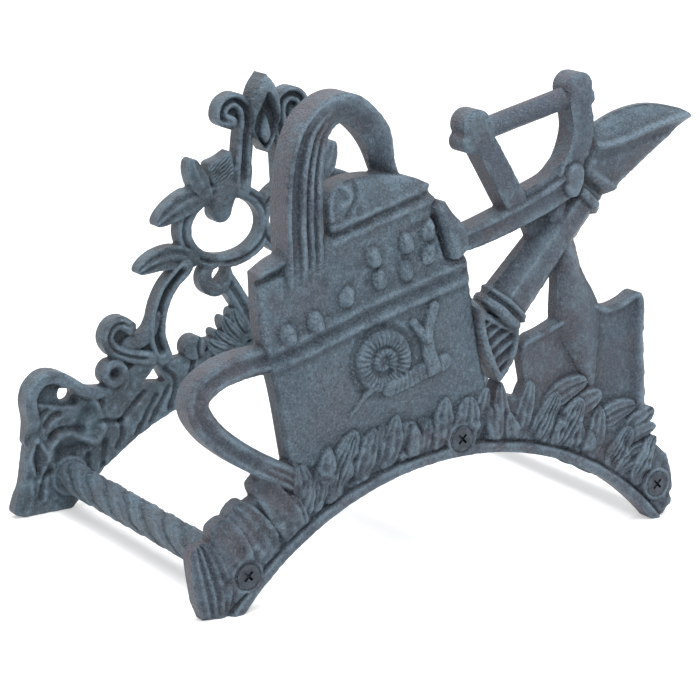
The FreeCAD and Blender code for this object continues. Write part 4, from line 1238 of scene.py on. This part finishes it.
# Pale colours the specks and the painted highlight on crests; Dark colours the pits and the painted shade in
# hollows
ironColours = {
    "Slate": (0.058, 0.075, 0.104), "Rub": (0.096, 0.158, 0.202), "Mauve": (0.078, 0.070, 0.087),
    "Dark": (0.014, 0.020, 0.029), "Pale": (0.245, 0.300, 0.370),
}
backColours = dict(ironColours, Slate=(0.056, 0.082, 0.104), Mauve=(0.058, 0.068, 0.084))
barColours = dict(ironColours, Slate=(0.100, 0.128, 0.160), Mauve=(0.112, 0.140, 0.172))
frontPiece.data.materials.append(castIron("front iron", ironColours, 0.32, 0.8))
backPiece.data.materials.append(castIron("back iron", backColours, 0.6, 0.6))
barIron = castIron("bar iron", barColours, 0.8, 1.0, 1.0)
for piece in barPieces:
    piece.data.materials.append(barIron)

screwLook = {"dark": (0.032, 0.040, 0.052, 1), "light": (0.064, 0.078, 0.098, 1), "smear": 260.0,
             "smooth": 0.38, "rougher": 0.2, "metallic": 0.45}


# dull steel: two greys mixed by a smear, which also roughens it
def screwSteel():
    material, wire, shader = blankMaterial("screw steel")
    smear = wire.noise(wire.new("TexCoord").outputs["Object"], screwLook["smear"], 3.0)
    colour = wire.mix(wire.spread(smear, 0.4, 0.65), screwLook["dark"], screwLook["light"])
    wire.put(shader["Base Color"], colour)
    wire.put(shader["Roughness"], wire.plus(screwLook["smooth"], wire.times(smear, screwLook["rougher"])))
    shader["Metallic"].default_value = screwLook["metallic"]
    return material


steel = screwSteel()
for label in ("front_screws", "rear_screws"):
    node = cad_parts[label]
    node.data.materials.clear()
    node.data.materials.append(steel)
print("materials")

# Stage: softboxes are place, width and height, and power
stageLook = {
    "floor": (0.86, 0.86, 0.86, 1), "floorRough": 0.9, "floorHalf": 6, "floorGap": 0.0002, "glow": 0.42,
    "farGlow": 0.35, "far": (0.5, 2.2), "white": (1, 1, 1, 1), "worldLight": 0.5, "worldShown": 0.5,
    "aim": (0.0, -0.1, 0.05),
    "softboxes": {
        "key": ((-0.3, -0.9, 1.35), (0.7, 0.7), 11.0), "top": ((0.1, -0.15, 1.5), (0.9, 0.7), 15.0),
        "fill": ((1.2, -1.0, 0.7), (1.2, 1.2), 4.0), "rear": ((-0.3, 1.1, 1.1), (1.4, 0.8), 6.0),
    },
}


# matt white that glows a little where the camera looks, and more far out, where the lamps don't reach
def whiteSurface(name, strength):
    material, wire, shader = blankMaterial(name)
    shader["Base Color"].default_value = stageLook["floor"]
    shader["Roughness"].default_value = stageLook["floorRough"]
    shader["Specular IOR Level"].default_value = 0.0
    seen = wire.shown()
    far = wire.new("VectorMath")
    far.operation = "LENGTH"
    wire.put(far.inputs[0], wire.new("TexCoord").outputs["Object"])
    rise = wire.times(wire.spread(far.outputs["Value"], *stageLook["far"]), stageLook["farGlow"])
    shader["Emission Color"].default_value = stageLook["white"]
    wire.put(shader["Emission Strength"], wire.times(seen, wire.plus(strength, rise)))
    return material


floorZ = -originHeight * unit - stageLook["floorGap"]
side = stageLook["floorHalf"]
floorCorners = [(-side, -side, floorZ), (side, -side, floorZ), (side, side, floorZ), (-side, side, floorZ)]
floor = meshPiece("floor", np.array(floorCorners), np.array([[0, 1, 2, 3]]))
floor.data.materials.append(whiteSurface("floor white", stageLook["glow"]))

world = bpy.data.worlds.new("studio")
bpy.context.scene.world = world
world.use_nodes = True
background = world.node_tree.nodes["Background"].inputs
background["Color"].default_value = stageLook["white"]
wire = Wiring(world.node_tree)
shown = wire.times(wire.shown(), stageLook["worldShown"])
wire.put(background["Strength"], wire.plus(stageLook["worldLight"], shown))

for name, (place, size, power) in stageLook["softboxes"].items():
    light = bpy.data.lights.new(name, "AREA")
    light.shape = "RECTANGLE"
    light.size, light.size_y = size
    light.energy = power
    lamp = bpy.data.objects.new(name, light)
    bpy.context.scene.collection.objects.link(lamp)
    lamp.location = place
    lamp.rotation_euler = (Vector(stageLook["aim"]) - Vector(place)).to_track_quat("-Z", "Y").to_euler()

cameraLook = {
    "lens": 137.62, "sensor": 36.0, "place": (-0.69976, -1.19665, 0.44490 - originHeight * unit),
    "right": (0.84338, -0.53718, -0.01209), "up": (0.15229, 0.21741, 0.96413),
    "ahead": (0.51528, 0.81497, -0.26517),
}
camera = bpy.data.cameras.new("camera")
camera.lens = cameraLook["lens"]
camera.sensor_width = cameraLook["sensor"]
camera.sensor_fit = "HORIZONTAL"
camera.clip_start = 0.05
eye = bpy.data.objects.new("camera", camera)
bpy.context.scene.collection.objects.link(eye)
axes = Matrix((cameraLook["right"], cameraLook["up"], -Vector(cameraLook["ahead"])))
eye.matrix_world = Matrix.Translation(cameraLook["place"]) @ axes.transposed().to_4x4()
bpy.context.scene.camera = eye
bpy.context.scene.view_settings.view_transform = "Standard"
print("stage and camera")
